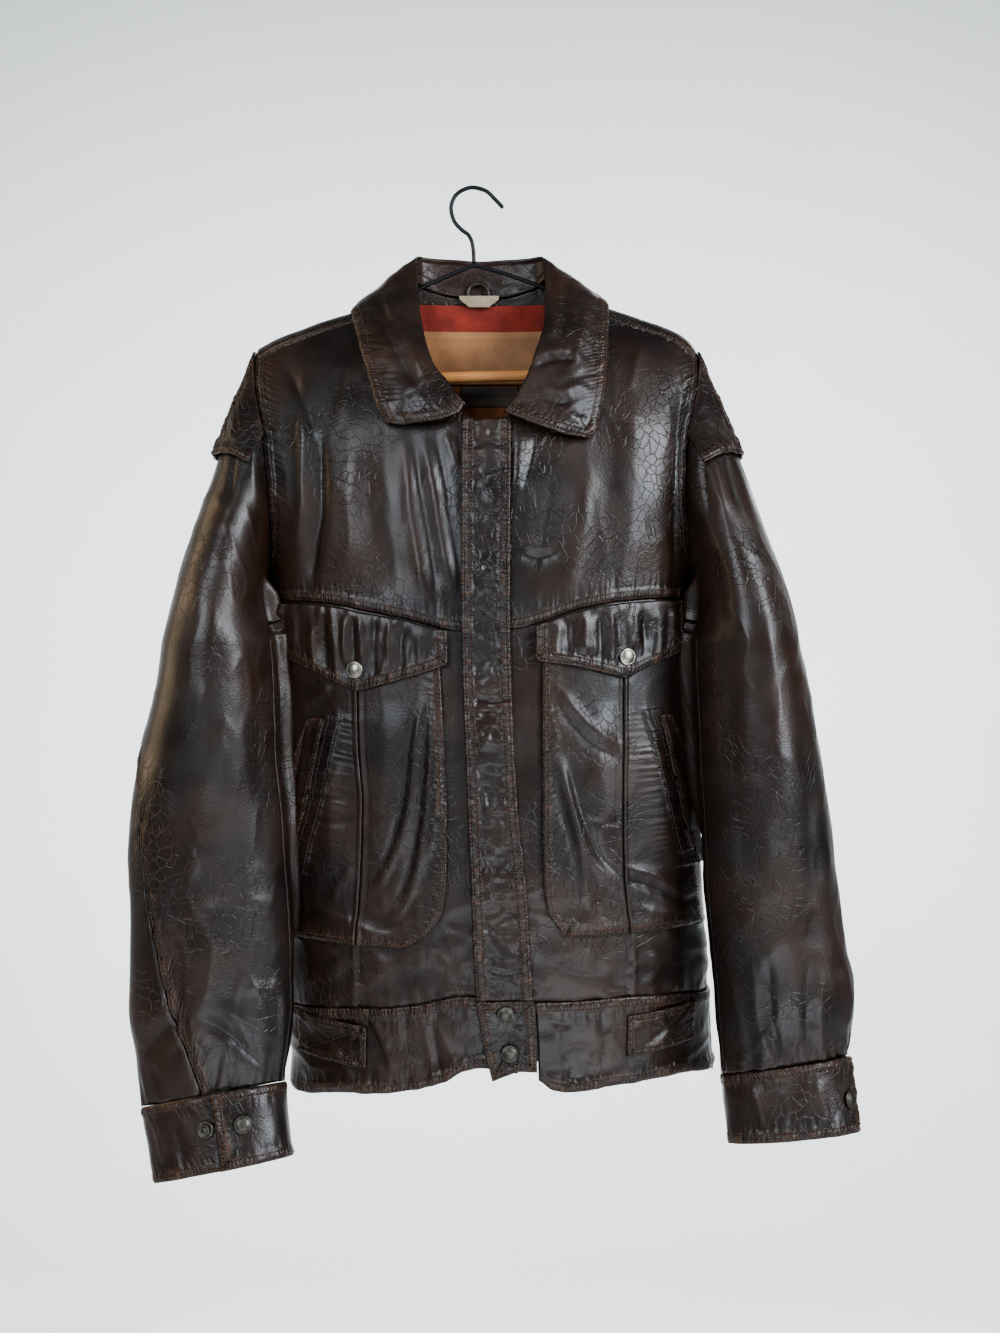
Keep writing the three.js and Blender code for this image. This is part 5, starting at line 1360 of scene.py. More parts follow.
def build_shell():
    """Yoke, upper and lower fronts, back, and waistbands."""
    def yoke_rise(p, rims):
        x, z = p[..., 0], p[..., 2]
        soft = 0.5 * noise(x / 26, z / 40, 31) + 0.3 * crinkle(x / 14, z / 20, 32)
        return soft + hemmed(rims, ("bottom",), seed=33) + hemmed(rims, ("top",), 6, 0.5, 0.5, 34)

    skin = Skin(yoke_where, yoke_rise, (4.0, 0.0, -400.0), (("bottom",), 9.0))
    cloth("back_yoke", skin, 2.9, LEATHER, "leather", worn=("bottom",))
    sew_border("body", skin, "bottom", SEAM_ROWS)
    sew_border("body", skin, "top", EDGE_ROW)

    def back_skin(where, seed):
        return Skin(where, lambda p, rims: (back_rise(p[..., 0], p[..., 2])
                                            + tucked(rims, ("top", "bottom"))
                                            + gather(rims, ("top", "bottom"), seed)), INSIDE)

    skin = back_skin(back_grid(BACK_SEAM_Z + TUCK, BACK_WAIST - TUCK), 41)
    cloth("back_panel", skin, 3.3, LEATHER, "leather")
    skin = Skin(back_grid(*BACK_BAND),
                lambda p, rims: (back_rise(p[..., 0], p[..., 2]) + 0.9
                                 + hemmed(rims, ("top", "bottom"), 8.0, 0.9, 0.9, 43)), INSIDE,
                (("top", "bottom"), 8.0))
    cloth("waistband_back", skin, 2.4, LEATHER, "leather_trim",
          worn=("top", "bottom"))
    for side in ("top", "bottom"):
        sew_border("body", skin, side, HEM_ROWS)
    for key in "rl":
        build_front(key)


def build_front(key):
    """Upper front, lower front and waistband piece of one side."""
    sign = SIGN[key]
    skin = front_skin(upper_front(key), bands={"sides": ("bottom", "right"), "seed": 50 + sign})
    cloth(f"front_upper_{key}", skin, 2.0, LEATHER, "leather",
          worn=("bottom", "right"))
    sew_border("body", skin, "bottom", SEAM_ROWS)
    sew_border("body", skin, "right", SEAM_ROWS, 0.02, 0.22)

    def lower_folds(x, z, rims):
        return (gather(rims, ("bottom",), 60 + sign) + tucked(rims, ("top", "bottom"))
                + panel_seams(key, x, z))

    cloth(f"front_lower_{key}", front_skin(lower_front(key), extra=lower_folds), 2.4, LEATHER,
          "leather")
    skin = front_skin(waist_front(key), 0.9, {"sides": ("top", "bottom"), "width": 8.0,
                                              "height": 0.9, "ruche": 0.9, "seed": 70 + sign})
    cloth(f"waistband_front_{key}", skin, 1.8, LEATHER, "leather_trim",
          worn=("top", "bottom"))
    for side in ("top", "bottom"):
        sew_border("body", skin, side, HEM_ROWS)


def panel_seams(key, x, z):
    """Seams of a lower front that run on from the pocket: down to the waist, and out to the
    side from the pocket's foot. Each is a groove with a low ridge beside it."""
    pocket, sign = POCKETS[key], SIGN[key]
    below = smooth((pocket["bottom"] - z) / 3)
    beside = smooth((sign * x - abs(pocket["outer"][0]) + 6) / 4)
    drop, aside = z - pocket["bottom"] - 1.5, sign * (x - pocket["seam"][0])
    pucker = noise(z / 5, x / 30, 64) * np.exp(-np.abs(aside) / 11)
    return (below * (1.5 * bell(aside - 3, 2.4) - 1.3 * bell(aside, 1.0) + 1.1 * pucker)
            + beside * (1.4 * bell(drop + 4, 2.8) - 1.4 * bell(drop, 1.1)))


def tucked(rims, sides):
    """Borders that dip to pass under the next piece."""
    return -1.3 * sum(1 - smooth((rims[side] - TUCK) / 2.0) for side in sides)


def gather(rims, sides, seed=0, reach=13.0, height=1.1):
    """Small folds square to a seam that gathers the cloth, dying away over the reach."""
    total = 0
    for k, side in enumerate(sides):
        along = rims["left"] if side in ("top", "bottom") else rims["top"]
        total = total + (noise(along / 5.5, rims[side] / 50, seed + k)
                         * np.exp(-rims[side] / reach)) * height
    return total


def build_closure():
    """The placket, and its tab below the waist seam."""
    def strip(u, v):
        z = mix(PLACKET_TOP, PLACKET_CROSS, v)
        return mix(placket_r(z), placket_l(z), u), z

    def detail(x, z, rims):
        middle = np.minimum(rims["left"], rims["right"])
        dents = 1.5 * crinkle(x / 14, z / 10, 82) + 0.9 * noise(x / 9, z / 13, 83) - 0.6
        return creases(x, z, PLACKET_CREASES) + dents * smooth((middle - 7) / 6)

    skin = front_skin(strip, PLACKET_LIFT, {"sides": ("left", "right"), "width": 9.5, "height": 0.9,
                                            "ruche": 0.9, "seed": 81}, detail)
    cloth("placket", skin, 1.5, DOUBLE, "leather_trim",
          worn=("left", "right"))
    for side in ("left", "right"):
        sew_border("trim", skin, side, PLACKET_ROWS)
    bottom = curve(*TAB_BOTTOM)

    def end(u, v):
        level = mix(PLACKET_CROSS - SEAM_GAP, TAB_BOTTOM[1][0], v)
        x = mix(placket_r(level), placket_l(level), u)
        return x, mix(PLACKET_CROSS - SEAM_GAP, bottom(x), v)

    skin = front_skin(end, PLACKET_LIFT, {"sides": ALL_ROUND, "width": 7.5,
                                          "height": 0.9, "ruche": 0.9, "seed": 84},
                      lambda x, z, rims: sum(dimple(x, z, s) for s in PLACKET_SNAPS.values()))
    cloth("placket_tab", skin, 1.3, DOUBLE, "leather_trim",
          worn=ALL_ROUND)
    for side in ALL_ROUND:
        sew_border("trim", skin, side, TAB_ROWS)


def dimple(x, z, centre):
    """Leather drawn down round a snap."""
    return -0.9 * bell(np.hypot(x - centre[0], z - centre[1]), 9.5)


def welt_lines(key):
    """A welt's levels, and its far and near edges as x by height."""
    levels, far, near = WELTS[key]
    return levels, curve(levels, far), curve(levels, near)


def build_pocket(key, seed):
    """A patch pocket in two halves that meet at a seam. The outer half has a puckered strip
    beside the welt, its share 0 at the welt and 1 at the strip's far stitching."""
    sign, pocket = SIGN[key], POCKETS[key]
    edges = {name: curve(POCKET_LEVEL, pocket[name]) for name in ("inner", "seam", "outer")}
    levels, _, near = welt_lines(key)

    def strip_share(x, z):
        share = -sign * (x - near(z)) / WELT_STRIP
        level = (z > min(levels)) & (z < max(levels) + 6)
        return np.where((share > -0.2) & level, np.abs(share), FAR_FROM_BAND)

    def plain(x, z, rims):
        return 0.35 + 0.9 * bell(rims["left"] - 1.6, 1.6) - 0.5 * bell(rims["left"] - 4.5, 1.2)

    def puckered(x, z, rims):
        share = strip_share(x, z)
        ridges = 1.1 * noise(z / 3.2, x / 20, 97) * smooth((1.1 - share) / 0.2)
        strip = 1.2 * smooth((1.05 - share) / 0.1) + ridges - 0.6 * bell(share - 0.5, 0.08)
        return plain(x, z, rims) + strip

    for half, detail, extra_band in (("inner", plain, None), ("outer", puckered, strip_share)):
        step = np.sign(edges[half](POCKET_MIDDLE) - edges["seam"](POCKET_MIDDLE)) * SEAM_GAP

        def where_xz(u, v, far=edges[half], step=step):
            level = mix(-400, pocket["bottom"], v)
            x = mix(edges["seam"](level) + step, far(level), u)
            return x, mix(chest_seam(x) - 1.5, pocket["bottom"], v)

        skin = front_skin(where_xz, POCKET_LIFT, {"sides": ("right", "bottom"), "width": 6.0,
                                                  "height": 0.5, "ruche": 0.6, "seed": seed}, detail)
        cloth(f"pocket_{half}_{key}", skin, 1.9, LEATHER, "leather",
              worn=("right", "bottom"), wear=0.8,
              extra_band=extra_band)
        for side in ("right", "bottom"):
            sew_border("trim", skin, side, POCKET_ROWS)


def build_flap(key, seed):
    """A pocket flap: level folds under the chest seam, a straight-sided point, and a dimple
    round its snap."""
    ends, stops, levels = FLAPS[key]

    def where_xz(u, v):
        x = mix(*ends, u)
        return x, mix(chest_seam(x) - 0.6, np.interp(x, stops, levels), v)

    def puckers(x, z, rims):
        level = smooth((rims["bottom"] - 5) / 6)
        uneven = 0.7 * noise(x / 5, z / 16, 95) + 0.5 * noise(x / 11, z / 12, 96)
        return ((0.8 * creases(x, z, FLAP_FOLDS[key]) + uneven) * (0.35 + 0.65 * level) + 0.6
                + dimple(x, z, FLAP_SNAPS[key]) - 1.2 * np.exp(-rims["top"] / 2.5))

    borders = ("left", "right", "bottom")
    skin = front_skin(where_xz, FLAP_LIFT, {"sides": borders, "width": 9.0, "height": 0.9,
                                            "ruche": 1.0, "seed": seed}, puckers)
    cloth(f"flap_{key}", skin, 1.5, DOUBLE, "leather_trim",
          worn=borders)
    for side in borders:
        sew_border("trim", skin, side, SEAM_ROWS)


def build_welt(key, seed):
    """The slanted strip of a hand-warmer opening."""
    levels, far, near = welt_lines(key)

    def where_xz(u, v):
        z = mix(float(levels[-1]), float(levels[0]), v)
        return mix(near(z), far(z), u), z

    skin = front_skin(where_xz, WELT_LIFT, {"sides": ("left", "right"), "width": 3.2, "height": 0.8,
                                            "ruche": 0.9, "seed": seed})
    cloth(f"welt_{key}", skin, 1.1, LEATHER, "leather_trim",
          worn=ALL_ROUND)
    for side in ("left", "right"):
        sew_border("trim", skin, side, WELT_ROW)


def build_pockets():
    """Patch pockets, their flaps, and the slanted welts."""
    for key in "rl":
        seed = 90 + 10 * SIGN[key]
        build_pocket(key, seed)
        build_flap(key, seed + 3)
        build_welt(key, seed + 5)


def build_tab(key):
    """An adjuster tab on the waistband, sewn round its edge and in a cross."""
    x_ends, tops, bottoms = TABS[key]

    def where_xz(u, v):
        return mix(*x_ends, u), mix(mix(*tops, u), mix(*bottoms, u), v)

    def detail(x, z, rims):
        across = rims["left"] / (rims["left"] + rims["right"])
        down = rims["top"] / (rims["top"] + rims["bottom"])
        cross = np.minimum(np.abs(across - down), np.abs(across + down - 1)) * 26
        return -0.6 * bell(cross, 1.6) * smooth((np.minimum(rims["left"], rims["right"]) - 3) / 3)

    skin = front_skin(where_xz, TAB_LIFT, {"sides": ALL_ROUND, "width": 5.0, "height": 0.6,
                                           "ruche": 0.9, "seed": 120 + SIGN[key]}, detail)
    cloth(f"tab_{key}", skin, 1.2, LEATHER, "leather_trim",
          worn=ALL_ROUND)
    for side in ALL_ROUND:
        sew_border("trim", skin, side, EDGE_ROW)
    line = np.linspace(0.08, 0.92, 120)
    sew("trim", skin, line, line)
    sew("trim", skin, line, 1 - line)


def build_tabs():
    """Both adjuster tabs."""
    for key in "rl":
        build_tab(key)


def build_collar():
    """The collar's fall and its stand."""
    def fall_rise(p, rims):
        x, y, z = p[..., 0], p[..., 1], p[..., 2]
        before = smooth((16 - y) / 20)
        soft = 0.9 * noise(x / 21, z / 26, 131) + 0.5 * noise(x / 9, z / 12, 132)
        fine = 0.6 * crinkle(x / 12 + y / 30, z / 14, 133)
        edge = np.minimum.reduce([rims["left"], rims["right"], rims["bottom"]])
        calm = smooth((edge - 4) / 10) * smooth((rims["top"] + 4) / 12)
        folds = settings().fold_depth * creases(x, z, COLLAR_FOLDS) * before
        return (folds + soft + fine) * calm + hemmed(rims, ("left", "right", "bottom"), 10.0, 0.7,
                                                     0.75, 134)

    skin = Skin(collar_at, fall_rise, (7.0, -5.0, -95.0), (("left", "right", "bottom"), 10.0))
    cloth("collar_fall", skin, 1.9, DOUBLE, "leather_collar",
          worn=("left", "right", "bottom"))
    for side in ("left", "right", "bottom"):
        sew_border("collar", skin, side, COLLAR_ROWS)

    def stand_rise(p, rims):
        x, z = p[..., 0], p[..., 2]
        return (0.7 * noise(x / 12, z / 8, 141) + 0.6 * crinkle(x / 9, z / 6, 142)
                - 0.7 * bell(rims["top"] - 9, 1.4) + 0.75)

    skin = Skin(stand_at, stand_rise, (7.0, -5.0, -80.0))
    cloth("collar_stand", skin, 2.2, LEATHER, "leather_collar")


def build_sleeve(key):
    """A sleeve in a front and a back piece. The front seam keeps its angle and the back seam's
    angle follows the height, with the seam's gap halved to each side."""
    seam_angle = curve(*BACK_SEAMS[key])
    seed = 150 + 10 * SIGN[key]
    level = np.array([0.7])
    inside = 0.5 * (sleeve_at(key, level, np.array([0.0]))[0]
                    + sleeve_at(key, level, np.array([180.0]))[0])

    def front_seam(v, turn, gap):
        return FRONT_SEAM_ANGLE + turn + gap + 0 * v

    def back_seam(v, gap):
        return seam_angle(sleeve_at(key, v, 90.0)[..., 2]) + gap

    def front_piece(u, v):
        return sleeve_at(key, v, mix(front_seam(v, 0, SEAM_HALF_ANGLE), back_seam(v, -SEAM_HALF_ANGLE), u))

    def back_piece(u, v):
        return sleeve_at(key, v, mix(back_seam(v, SEAM_HALF_ANGLE), front_seam(v, 360, -SEAM_HALF_ANGLE), u))

    def folds(p, rims, joint):
        return (sleeve_rise(key, p, seed) * smooth((rims["top"] + 12) / 40)
                + gather(rims, ("bottom",), seed + 6, 16.0, 1.8) + gather(rims, (joint,), seed + 8))

    def front_rise_of(p, rims):
        return folds(p, rims, "right") + hemmed(rims, ("right",), 7.0, 0.7, 0.7, seed + 5)

    def back_rise_of(p, rims):
        return folds(p, rims, "left")

    skin = Skin(front_piece, front_rise_of, inside, (("right",), 7.0))
    cloth(f"sleeve_front_{key}", skin, 3.1, LEATHER, "leather", worn=("right",))
    sew_border("sleeves", skin, "right", SLEEVE_ROWS, 0.25)
    skin = Skin(back_piece, back_rise_of, inside)
    cloth(f"sleeve_back_{key}", skin, 3.1, LEATHER, "leather")


def build_sleeves():
    """Sleeves, the caps over their heads, and the cuffs."""
    for key in "rl":
        build_sleeve(key)
        build_cap(key)
        build_cuff(key)


def build_cap(key):
    """The cap over a sleeve's head, in a front and a back half. It reaches down the head by a
    share that is most at the outside and falls off with the angle squared."""
    low, seam, high = CAP_ANGLES
    for half, start, end, joint in (("front", low, seam - CAP_SEAM, "right"),
                                    ("back", seam + CAP_SEAM, high, "left")):
        borders = ("bottom", joint)

        def where(u, v, start=start, end=end):
            angle = mix(start, end, u)
            reach = CAP_REACH - CAP_RISE * ((angle - 180) / 76) ** 2
            return head_at(key, mix(CAP_START, reach, v), angle)

        def rise(p, rims, borders=borders):
            x, z = p[..., 0], p[..., 2]
            down = rims["top"] / (rims["top"] + rims["bottom"])
            soft = 0.5 * noise(x / 14, z / 22, 171) + 0.4 * crinkle(x / 12, z / 16, 172)
            return (CAP_LIFT + LEATHER + 3.0 * down + soft + gather(rims, ("bottom",), 173, 22.0, 1.4)
                    + hemmed(rims, borders, 8.0, 0.8, 0.8, 174))

        skin = Skin(where, rise, (SIGN[key] * 150.0, -30.0, -300.0), (borders, 8.0))
        cloth(f"cap_{half}_{key}", skin, 1.7, LEATHER, "leather_trim",
              worn=(*borders, "top"))
        sew_border("sleeves", skin, "bottom", HEM_ROWS)
        sew_border("sleeves", skin, joint, EDGE_ROW)


def build_cuff(key):
    """A cuff that winds round and laps over its own start."""
    def where(u, v):
        return ring_at(CUFF_RINGS[key], v, CUFF_EDGE[key] + u * CUFF_TURN, SIGN[key])

    def rise(p, rims):
        share = rims["left"] / (rims["left"] + rims["right"])
        lap = CUFF_LAP_LIFT * (1 - smooth(share / 0.3))
        folds = creases(p[..., 0], p[..., 2], CUFF_FOLDS) * smooth((p[..., 1] + 60) / -10)
        return (1 + lap + folds + 0.5 * noise(p[..., 0] / 11, p[..., 2] / 14, 181)
                + hemmed(rims, ("top", "bottom", "left"), 7.0, 0.8, 0.9, 182))

    middle = [c(0.5) for c in CUFF_RINGS[key]]
    skin = Skin(where, rise, (middle[1], middle[3], middle[0]), (("top", "bottom", "left"), 7.0))
    cloth(f"cuff_{key}", skin, 1.7, DOUBLE, "leather_trim",
          worn=("top", "bottom", "left"))
    for side in ("top", "bottom", "left"):
        sew_border("sleeves", skin, side, CUFF_ROWS)


def build_lining():
    """Linings, patches, loop and label seen through the neck."""
    def layer(node, look, x, z, lift, thickness, detail):
        def where(u, v):
            return on_back(mix(*x, u), mix(*z, v))

        def rise(p, rims):
            return -LEATHER - lift + detail(p[..., 0], p[..., 2], rims)

        cloth(node, Skin(where, rise, INSIDE), 1.6, thickness, look)

    def puffed(x, z, rims):
        return -0.5 - 0.5 * noise(x / 16, z / 9, 191) - 0.4 * crinkle(x / 15, z / 10, 192)

    def piped(x, z, rims):
        edge = np.minimum.reduce([rims[side] for side in ALL_ROUND])
        return -0.9 * bell(rims["top"] - 6.5, 1.0) + 0.4 * bell(edge - 2.4, 0.9)

    layer("lining_red", "red_cloth", (-66, 80), (-105, -131), 1.4, LINING, puffed)
    layer("lining_lower", "orange_cloth", (-66, 80), (-131.5, -228), 1.4, LINING, puffed)
    layer("neck_patch", "tan_patch", (-60, 74), (-129, -178), 3.4, LEATHER, piped)
    layer("lower_patch", "dark_patch", (-12, 44), (-180, -199), 3.2, LINING, piped)
    loop_y = back(np.array([5.0]), np.array([-95.0]))[0] - 3.1
    angle = np.linspace(0, 2 * np.pi, 48, endpoint=False)
    around = np.linspace(0, 2 * np.pi, 14, endpoint=False)
    a, b = np.meshgrid(angle, around, indexing="ij")
    reach = 10 + (2 + 0.15 * np.cos(9 * a)) * np.cos(b)
    points = stack(5 + reach * np.cos(a), loop_y - 2 * np.sin(b), -95 + reach * np.sin(a))
    index = np.arange(a.size).reshape(a.shape)
    right, up = np.roll(index, -1, 0), np.roll(index, -1, 1)
    quads = np.stack([index, right, np.roll(right, -1, 1), up], -1).reshape(-1, 4)
    obj = shape_object("hang_loop_leather", points, quads, NO_TRIANGLES, MATERIALS["leather_trim"],
                       {"wear": 0.3 + 0 * a, "hollow": 0 * a})
    dress(obj, "leather", "hang_loop")

    def label_at(u, v):
        x = mix(-13.0, 25.0, u)
        corner = np.maximum(0, np.abs(u - 0.5) * 2 - 0.5) * 16
        return stack(x, loop_y - 2.4 + 0 * x, mix(-97.5, -108.5 + corner, v))

    skin = Skin(label_at, lambda p, rims: 0.8 + 0.15 * noise(p[..., 0] / 3, p[..., 2] / 3, 201),
                (6.0, 100.0, -102.0))
    cloth("size_label", skin, 1.0, 0.8, "label_cloth")


def rod_piece(name, node, look, route, radius, count, segments=20, rough=0.0):
    """Round wire or bar along a route in the plane y = 0, with rounded ends."""
    line = path([(x, 0, z) for x, z in route])
    dense = line(np.linspace(0, 1, 1200))
    run = np.concatenate([[0], np.cumsum(np.linalg.norm(np.diff(dense, axis=0), axis=1))])
    stops = np.linspace(0, run[-1], count)
    centres = np.stack([np.interp(stops, run, dense[:, k]) for k in range(3)], 1)
    tangent = np.gradient(centres, axis=0)
    tangent /= np.linalg.norm(tangent, axis=1, keepdims=True)
    side = np.tile([0.0, 1.0, 0.0], (count, 1))
    up = np.cross(tangent, side)
    turn = np.linspace(0, np.pi / 2, 5)[:-1]
    end = ROD_END * radius
    ahead, behind = end * np.cos(turn), end * np.cos(turn)[::-1]
    first = centres[0] + (end - ahead)[:, None] * tangent[0]
    last = centres[-1] - (end - behind)[:, None] * tangent[-1]
    inner = (stops > end) & (stops < run[-1] - end)
    wobble = 1 + rough * noise(stops / 9, stops * 0, 211)
    centres = np.concatenate([first, centres[inner], last])
    radii = np.concatenate([radius * np.sin(turn), (radius * wobble)[inner],
                            radius * np.sin(turn)[::-1]])
    side = np.concatenate([np.tile(side[0], (4, 1)), side[inner], np.tile(side[-1], (4, 1))])
    up = np.concatenate([np.tile(up[0], (4, 1)), up[inner], np.tile(up[-1], (4, 1))])
    dress(turned(name, centres, radii, side, up, segments, MATERIALS[look]), look, node)


def build_hanger():
    """Hook, shoulder frame and bar of the hanger."""
    end = {x: -177.3 + 0.03 * x for x in (-184.5, 190)}
    rod_piece("wire_hook", "hanger_hook", "wire",
              ((29, -17.5), (21, -9), (12, -1), (0, 1.9), (-10, -1), (-17.5, -8), (-20.3, -18),
               (-18, -28.5), (-11, -37.5), (-3.5, -43.5), (-0.5, -50), (1, -60), (1.4, -70)),
              1.9, 150)
    rod_piece("wire_frame", "hanger_frame", "wire",
              ((-184.9, end[-184.5]), (-190, end[-184.5]), (-196, -176), (-195.5, -164), (-190, -156),
               (-180, -149.5), (-161, -140), (-114, -123.5), (-53, -95), (-12, -77), (1.4, -72.2),
               (20, -76.5), (68, -93), (131, -120), (159, -130), (184, -140.5), (197, -149),
               (202, -158), (201, -167), (196, end[190]), (190.4, end[190])), 1.9, 260)
    rod_piece("wood_bar", "hanger_bar", "wood",
              ((-184.5, end[-184.5]), (0, -177.3), (190, end[190])), 5.2, 120, 32, 0.012)


def snap_piece(node, foot, normal, profile, look="metal_dark"):
    """Round metal fitting: circles of the profile's radii at its heights along the normal."""
    axis = normal / np.linalg.norm(normal)
    side = np.cross(axis, (0.0, 0.0, 1.0))
    side /= np.linalg.norm(side)
    up = np.cross(axis, side)
    radii, heights = np.array(profile, float).T
    centres = foot + heights[:, None] * axis
    obj = turned(f"metal_{node}", centres, radii, side, up, SNAP_SEGMENTS, MATERIALS[look])
    dress(obj, "metal", node)


CAP_PROFILE = ((0, -0.5), (7.2, -0.5), (7.6, 0), (7.75, 0.5), (7.6, 1.1), (7.1, 1.6), (6.5, 1.75),
               (6.15, 1.6), (5.9, 1.75), (5.2, 2.25), (4.0, 2.7), (2.6, 3.0), (1.2, 3.12), (0, 3.15))
SOCKET_PROFILE = ((0, -0.3), (7.1, -0.3), (7.4, 0.3), (7.3, 1.1), (6.7, 1.7), (5.9, 1.8), (5.0, 1.5),
                  (4.3, 0.9), (3.2, 0.75), (2.5, 0.9), (2.35, 1.8), (1.9, 2.4), (0.9, 2.6), (0, 2.62))


def build_snaps():
    """Snap caps on the flaps, the placket tab and the cuffs, and the open stud on one cuff."""
    front_snaps = {
        "snap_flap_r": (FLAP_SNAPS["r"], FLAP_LIFT, "metal"),
        "snap_flap_l": (FLAP_SNAPS["l"], FLAP_LIFT, "metal"),
        "snap_placket_top": (PLACKET_SNAPS["top"], PLACKET_LIFT, "metal_dark"),
        "snap_placket_low": (PLACKET_SNAPS["low"], PLACKET_LIFT, "metal_dark"),
    }
    h = SNAP_PROBE
    for node, ((x, z), lift, look) in front_snaps.items():
        point = on_front(x, z)
        normal = np.array([(front(x + h, z) - front(x - h, z)) / (2 * h), -1.0,
                           (front(x, z + h) - front(x, z - h)) / (2 * h)])
        normal /= np.linalg.norm(normal)
        rise = front_rise(np.array([x]), np.array([z]))[0]
        snap_piece(node, point + (lift + rise + 0.4) * normal, normal, CAP_PROFILE, look)
    cuff_snaps = {"snap_cuff_r": ("r", 62, 0.46, 4.9, CAP_PROFILE),
                  "stud_cuff_r": ("r", 92, 0.44, 2.2, SOCKET_PROFILE),
                  "snap_cuff_l": ("l", 146, 0.55, 4.9, CAP_PROFILE)}
    for node, (key, angle, share, lift, profile) in cuff_snaps.items():
        rings, sign = CUFF_RINGS[key], SIGN[key]
        before, after = ring_at(rings, share, angle - 3, sign), ring_at(rings, share, angle + 3, sign)
        down = ring_at(rings, 1.0, angle, sign) - ring_at(rings, 0.0, angle, sign)
        normal = np.cross(after - before, down)
        normal *= -np.sign(normal[1]) / np.linalg.norm(normal)
        snap_piece(node, ring_at(rings, share, angle, sign) + lift * normal, normal, profile)


def build_stitching():
    """Every stitch noted while the cloth was made: eight-sided grains joined by group."""
    half = np.array([[1.35, 0, 0], [-1.35, 0, 0], [0, 0.48, 0], [0, -0.48, 0], [0, 0, 0.42],
                     [0, 0, -0.4]])
    faces = np.array([[0, 2, 4], [2, 1, 4], [1, 3, 4], [3, 0, 4], [2, 0, 5], [1, 2, 5], [3, 1, 5],
                      [0, 3, 5]])
    for group, rows in SEWN.items():
        place, tangent, normal = (np.concatenate(column) for column in zip(*rows))
        side = np.cross(normal, tangent)
        axes = np.stack([tangent, side, normal], axis=1)
        points = place[:, None, :] + np.einsum("kc,ncx->nkx", half, axes)
        index = (np.arange(len(place)) * 6)[:, None, None] + faces[None]
        obj = shape_object(f"stitching_{group}", points.reshape(-1, 3), np.zeros((0, 4)),
                           index.reshape(-1, 3), MATERIALS["thread"])
        dress(obj, "leather")


# The lights' places, aims and sizes in metres, and their colours
LIGHTS = {
    "key": ((1.7, -1.5, 0.35), (0.05, 0, -0.45), (1.0, 1.8), (0.86, 0.93, 1.0)),
    "fill": ((-0.95, -1.9, 0.35), (0, 0, -0.45), (0.8, 1.7), (0.84, 0.92, 1.0)),
    "warm": ((-1.9, 0.05, 0.1), (-0.1, 0, -0.45), (0.9, 1.8), (1.0, 0.76, 0.50)),
    "low": ((0.35, -1.7, -1.45), (0.0, 0, -0.62), (1.7, 0.55), (0.86, 0.93, 1.0)),
    "wall": ((0, 1.1, -0.3), (0, 3, -0.3), (5.0, 3.4), (0.97, 0.98, 1.0)),
    "back": ((0.5, 2.0, 0.9), (0.5, -3, 0.9), (2.4, 1.4), (0.95, 0.97, 1.0)),
}
SKY_COLOUR = (0.80, 0.86, 0.95, 1)
# The photo's camera, found from the perspective of the hanger and the snaps
CAMERA_PLACE = (0.026, -1.040, -0.451)
CAMERA_LENS = 29.707
CAMERA_SENSOR = 36.0
# The sweep in metres
FLOOR = -1.9
WALL = 2.4
SWEEP_FRONT, SWEEP_TOP, SWEEP_SIDE = -5.0, 4.0, 6.0
SWEEP_BEND = 0.8


def area_light(name, place, aim, size, colour, power):
    """Soft light the camera doesn't see, facing a point."""
    light = bpy.data.lights.new(name, "AREA")
    light.shape, light.size, light.size_y = "RECTANGLE", size[0], size[1]
    light.color, light.energy = colour, power
    obj = bpy.data.objects.new(name, light)
    obj.location = place
    obj.rotation_euler = (Vector(aim) - Vector(place)).to_track_quat("-Z", "Y").to_euler()
    obj.visible_camera = False
    bpy.context.scene.collection.objects.link(obj)


def build_stage():
    """Pale sweep of floor and wall, soft lights, dim sky, and the photo's camera."""
    start, centre = WALL - SWEEP_BEND, FLOOR + SWEEP_BEND
    turn = np.linspace(0, np.pi / 2, 16)
    bend = [(start + SWEEP_BEND * math.sin(t), centre - SWEEP_BEND * math.cos(t)) for t in turn[1:]]
    profile = np.array([(SWEEP_FRONT, FLOOR), (start, FLOOR), *bend, (WALL, SWEEP_TOP)])
    x, row = np.meshgrid((-SWEEP_SIDE, SWEEP_SIDE), np.arange(len(profile)))
    points = stack(x, profile[row, 0], profile[row, 1]) / MM
    index = np.arange(x.size).reshape(x.shape)
    quads = np.stack([index[:-1, 0], index[:-1, 1], index[1:, 1], index[1:, 0]], -1)
    sweep = shape_object("stage_sweep", points, quads, NO_TRIANGLES, MATERIALS["backdrop"])
    scene, look = bpy.context.scene, settings()
    for name, (place, aim, size, colour) in LIGHTS.items():
        area_light(f"light_{name}", place, aim, size, colour, getattr(look, f"{name}_power"))
    world = bpy.data.worlds.new("soft_sky")
    world.use_nodes = True
    background = world.node_tree.nodes["Background"].inputs
    background["Color"].default_value = SKY_COLOUR
    background["Strength"].default_value = look.sky
    scene.world = world
    scene.view_settings.view_transform = "AgX"
    scene.view_settings.look = "AgX - Medium High Contrast"
    camera = bpy.data.cameras.new("photo_camera")
    camera.lens = CAMERA_LENS
    camera.sensor_width = CAMERA_SENSOR
    obj = bpy.data.objects.new("photo_camera", camera)
    obj.location = CAMERA_PLACE
    obj.rotation_euler = (math.pi / 2, 0, 0)
    scene.collection.objects.link(obj)
    scene.camera = obj


